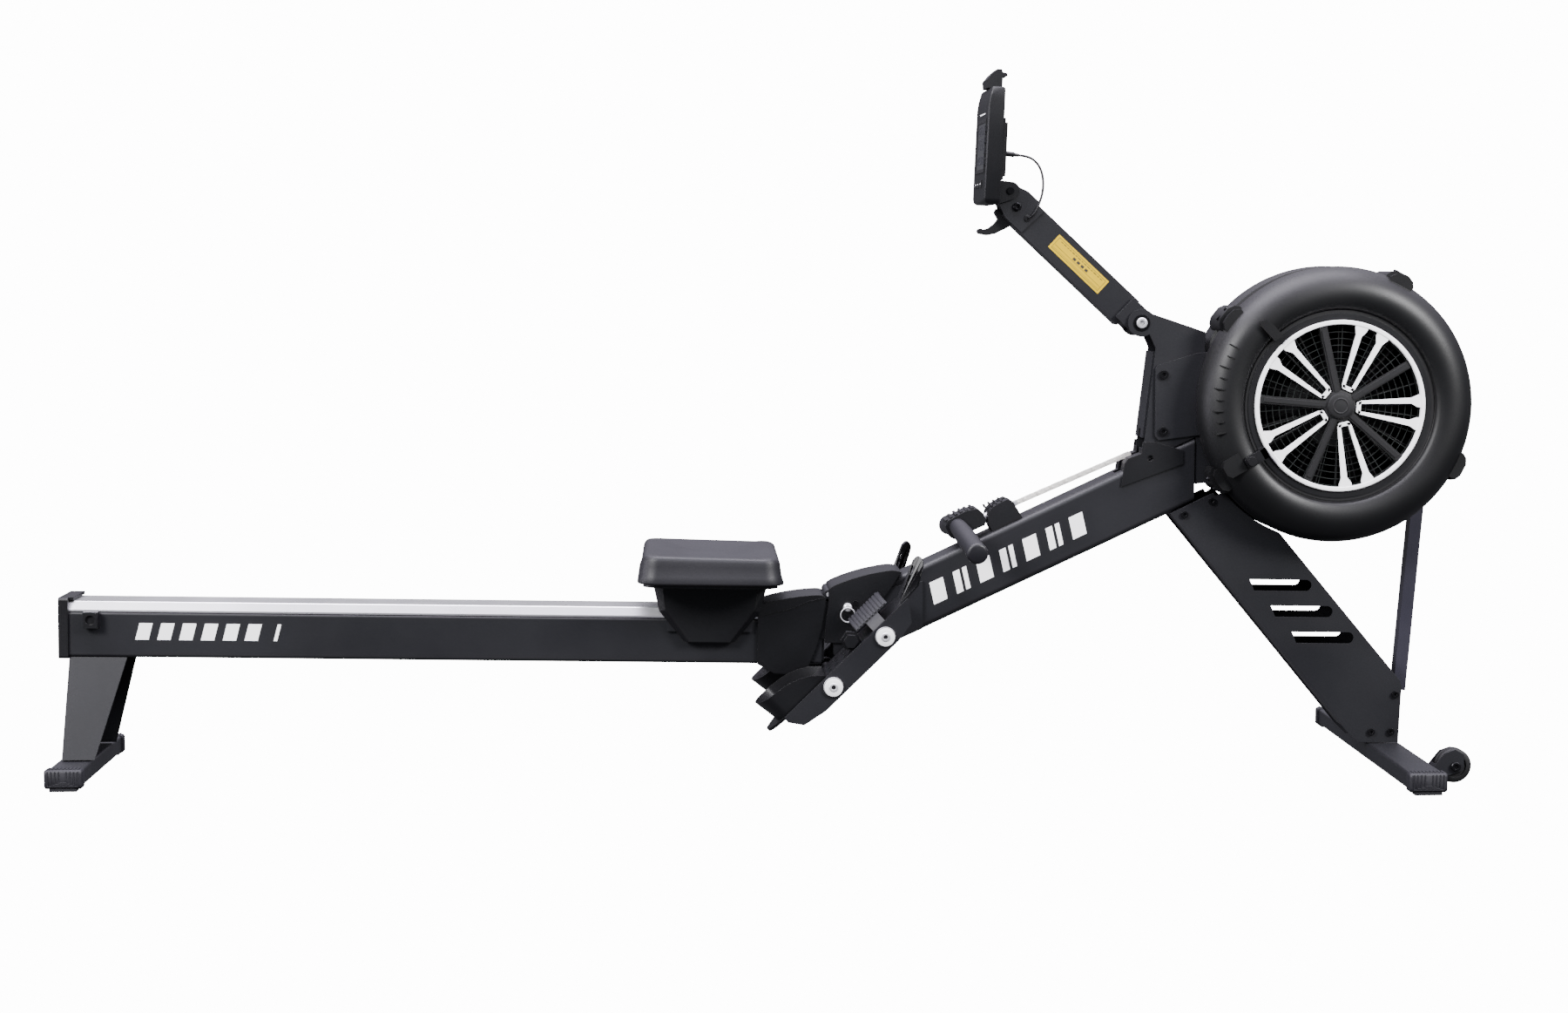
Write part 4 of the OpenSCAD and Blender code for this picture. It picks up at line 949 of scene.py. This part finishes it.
# ---------------------------------------------------------------- arm
def make_arm():
    hook = bmesh.new()
    lever = [(268, 26), (273, 42), (279, 57), (287, 68), (295, 74), (302, 75.5)]
    back = [(304, 71), (298, 66.5), (293, 58), (291, 47), (292, 37), (304, 33), (306, 26)]
    for s in (-1, 1):
        prism(hook, lever + back, s * 4, s * 12, ON_ARM)
    tip = [(ON_ARM @ (Vector((300, y, 72)) * MM)) / MM for y in (-12.4, 12.4)]
    tube(hook, tip, 4.6, 24)
    add_piece("handle_hook", bevelled(hook, 0.7, 2, 45), PLASTIC, "arm")
    plate = bmesh.new()
    for s in (-1, 1):
        side = [(246, -23.5), (262, -24), (262, -29), (288, -29), (314, -21), (322, 2), (318, 16),
                (288, 28.5), (250, 28.5)]
        prism(plate, side, s * 24, s * 27, ON_ARM)
    add_piece("console_mount_plates", bevelled(plate, 0.8, 2), PAINT, "arm")
    bolts, pivot = bmesh.new(), bmesh.new()
    for s in (-1, 1):
        spot = (ON_ARM @ (Vector((284.5, 0, 2)) * MM)) / MM
        lathe(bolts, [(0.01, s * 26.5), (7, s * 26.5), (7, s * 29.5), (5.5, s * 31), (3.2, s * 31),
                      (3, s * 29), (0.01, s * 29)],
              spot * MM, 28)
        lathe(pivot, [(0.01, s * 38), (9, s * 38), (9, s * 42.4), (7.6, s * 43.6), (4.2, s * 43.8),
                      (4, s * 41), (0.01, s * 41)],
              ARM_ORIGIN, 32)
        lathe(bolts, [(9, s * 37.4), (14, s * 37.4), (14, s * 39), (9, s * 39)], ARM_ORIGIN, 32)
    add_piece("arm_bolts", bolts, BOLT, "arm")
    add_piece("arm_pivot_bolt", pivot, STEEL, "arm")


make_arm()


# ---------------------------------------------------------------- feet and casters
def make_feet():
    for name, cad, x, half in (("rear", "rear_foot_caps", -1146.7, 167), ("front", "front_foot_caps", 1048.6,
                                                                          315)):
        caps = bmesh.new()
        for s in (-1, 1):
            rings = []
            for y, inset in ((half - 21, 0.6), (half - 19, 0), (half - 6, 0), (half - 2, 1), (half, 4)):
                ring = []
                r, a, b = 5, 31.4 - inset, 16 - inset
                for cx, cz, start in ((a - r, b - r, 0), (-a + r, b - r, 90), (-a + r, -b + r, 180),
                                      (a - r, -b + r, 270)):
                    for k in range(6):
                        t = math.radians(start + 18 * k)
                        ring.append(caps.verts.new(Vector((x + cx + r * math.cos(t), s * y,
                                                           20 + cz + r * math.sin(t))) * MM))
                rings.append(ring)
            join_rings(caps, rings)
            caps.faces.new(rings[0][::-1])
            caps.faces.new(rings[-1])
            block(caps, (x - 22, s * (half - 19), 0), (x + 22, s * (half - 1), 5))
            for k in range(-4, 5):
                block(caps, (x + 6 * k - 1.6, s * (half - 18), 34), (x + 6 * k + 1.6, s * (half - 5), 37.2))
            for k in range(4):
                low = 8 + 2 * k
                loop = [(x - 25 + 6 * k, 33.5), (x - 25 + 6 * k, low), (x + 25 - 6 * k, low),
                        (x + 25 - 6 * k, 33.5),
                        (x + 23.4 - 6 * k, 33.5), (x + 23.4 - 6 * k,
                                low + 1.6), (x - 23.4 + 6 * k, low + 1.6), (x - 23.4 + 6 * k, 33.5)]
                if 25 - 6 * k > 4:
                    prism(caps, loop, s * (half - 1), s * (half + 0.9))
        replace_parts(add_piece(name + "_end_caps", bevelled(caps, 0.5, 1, 50), RIB_RUBBER,
                              "rail" if name == "rear" else "frame",
                              sharp=50), cad)
    for s, name in ((-1, "near"), (1, "far")):
        centre = Vector((1112, s * 227, 32.5)) * MM
        tread = lathe(bmesh.new(), [(4.2, -11), (9, -11), (10, -9), (18, -9), (19, -11), (25.5, -11),
                                    (28, -8.5), (28, -3), (27.3, -2.5),
                                    (27.3, 2.5), (28, 3), (28, 8.5), (25.5,
                                            11), (19, 11), (18, 9), (10, 9), (9, 11), (4.2, 11)], centre, 64)
        piece = add_piece("caster_" + name, tread, MATT_PLASTIC, "wheel_" + name, sharp=50)
        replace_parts(piece, "transport_wheel_" + name)
    bolts = bmesh.new()
    for s in (-1, 1):
        centre = Vector((1112, 0, 32.5)) * MM
        lathe(bolts, [(0.01, s * 210), (4, s * 210), (4, s * 243), (8, s * 243), (8, s * 247.5),
                      (6.6, s * 248.6), (4, s * 248.6),
                      (3.8, s * 246.5), (0.01, s * 246.5)], centre, 32)
    add_piece("caster_bolts", bolts, BOLT, "frame")


make_feet()


# ---------------------------------------------------------------- marks
def make_marks():
    marks = bmesh.new()
    for s in (-1, 1):
        for k in range(7):
            x = 324 + 43 * k
            shape = [(x, 29), (x + 25, 29), (x + 33, 66), (x + 8, 66)]
            if k % 2:
                shape = [(x, 29), (x + 12, 29), (x + 20, 66), (x + 8, 66)]
            prism(marks, shape, s * 40.05, s * 40.35, ON_BEAM)
            if k % 2:
                prism(marks, [(x + 17, 29), (x + 25, 29), (x + 33, 66), (x + 25, 66)], s * 40.05, s * 40.35,
                      ON_BEAM)
    add_piece("beam_stripes", marks, DECAL, "frame", smooth=False)
    tail = bmesh.new()
    for s in (-1, 1):
        for k in range(6):
            x = -1050 + 36 * k
            prism(tail, [(x, 30), (x + 22, 30), (x + 29, 58), (x + 7, 58)], s * 45.05, s * 45.35, ON_RAIL)
        prism(tail, [(-822, 30), (-816, 30), (-809, 58), (-815, 58)], s * 45.05, s * 45.35, ON_RAIL)
    add_piece("rail_stripes", tail, DECAL, "rail", smooth=False)


def make_label():
    """Plain yellow label with a ruled border and ruled lines, on each side of the arm."""
    paper, ink = bmesh.new(), bmesh.new()
    for s in (-1, 1):
        block(paper, (86, s * 24.05, -13.5), (201, s * 24.3, 14.5), ON_ARM)
        y0, y1 = s * 24.3, s * 24.42
        for a, b in (((90, -10.4), (197, -9.8)), ((90, 10.6), (197, 11.2)), ((90, -10.4), (90.6, 11.2)),
                     ((196.4, -10.4), (197, 11.2)),
                     ((92, 3.2), (195, 3.7)), ((92, 8.2), (195, 8.6))):
            block(ink, (a[0], y0, a[1]), (b[0], y1, b[1]), ON_ARM)
        x = 96
        while x < 188:
            run = RNG.uniform(3, 9)
            block(ink, (x, y0, -7.4), (min(x + run, 190), y1, -6.2), ON_ARM)
            x += run + 2.2
        for k in range(4):
            block(ink, (124 + 9 * k, y0, -2.8), (130 + 9 * k, y1, 1.6), ON_ARM)
    add_piece("arm_label", paper, LABEL, "arm", smooth=False)
    add_piece("arm_label_lines", ink, INK, "arm", smooth=False)


make_marks()
make_label()


# ---------------------------------------------------------------- white room
def glowing(name, strength):
    """Plain white surface that shines evenly."""
    m = bpy.data.materials.new(name)
    m.use_nodes = True
    nodes, links = m.node_tree.nodes, m.node_tree.links
    glow = nodes.new("ShaderNodeEmission")
    glow.inputs["Color"].default_value = (1, 1, 1, 1)
    glow.inputs["Strength"].default_value = strength
    links.new(glow.outputs["Emission"], nodes["Material Output"].inputs["Surface"])
    return m


def make_stage():
    world = bpy.data.worlds.new("white_room")
    bpy.context.scene.world = world
    world.use_nodes = True
    nodes, links = world.node_tree.nodes, world.node_tree.links
    back = nodes["Background"]
    back.inputs["Strength"].default_value = 1
    place = nodes.new("ShaderNodeTexCoord")
    split = nodes.new("ShaderNodeSeparateXYZ")
    fade = nodes.new("ShaderNodeValToRGB")
    links.new(place.outputs["Generated"], split.inputs["Vector"])
    links.new(split.outputs["Z"], fade.inputs["Fac"])
    links.new(fade.outputs["Color"], back.inputs["Color"])
    stops = fade.color_ramp.elements
    stops[0].position, stops[0].color = 0.25, (0.16, 0.16, 0.18, 1)
    stops[1].position, stops[1].color = 0.8, (2.4, 2.3, 2.7, 1)
    paper = glowing("paper_white", 14)
    bm = bmesh.new()
    bmesh.ops.create_grid(bm, x_segments=1, y_segments=1, size=30)
    room = bmesh.new()
    bmesh.ops.create_uvsphere(room, u_segments=48, v_segments=24, radius=32)
    for name, mesh_data in (("floor", bm), ("backdrop", room)):
        mesh = bpy.data.meshes.new(name)
        mesh_data.to_mesh(mesh)
        mesh_data.free()
        mesh.materials.append(paper)
        obj = bpy.data.objects.new(name, mesh)
        bpy.context.scene.collection.objects.link(obj)
        obj.visible_diffuse = False
        obj.visible_glossy = False
        obj.visible_shadow = False
        obj.visible_transmission = False


def area_light(name, place, target, size, power, tint=(1, 1, 1)):
    data = bpy.data.lights.new(name, "AREA")
    data.shape = "RECTANGLE"
    data.size, data.size_y = size
    data.energy = power
    data.color = tint
    lamp = bpy.data.objects.new(name, data)
    aim = (Vector(target) - Vector(place)).to_track_quat("-Z", "Y")
    lamp.matrix_world = Matrix.Translation(place) @ aim.to_matrix().to_4x4()
    bpy.context.scene.collection.objects.link(lamp)


make_stage()
area_light("top_soft", (0, -0.2, 3.4), (0, 0, 0.4), (3.6, 2.0), 330, (0.93, 0.9, 1))
area_light("front_left", (-3.8, -3.6, 3.2), (-0.2, 0, 0.4), (1.6, 1.6), 620)
area_light("front_right", (4.2, -3.4, 3.2), (0.4, 0, 0.5), (1.6, 1.6), 620)
area_light("left_soft", (-4.6, -0.2, 0.9), (0, 0, 0.5), (2.0, 1.6), 110, (0.93, 0.9, 1))
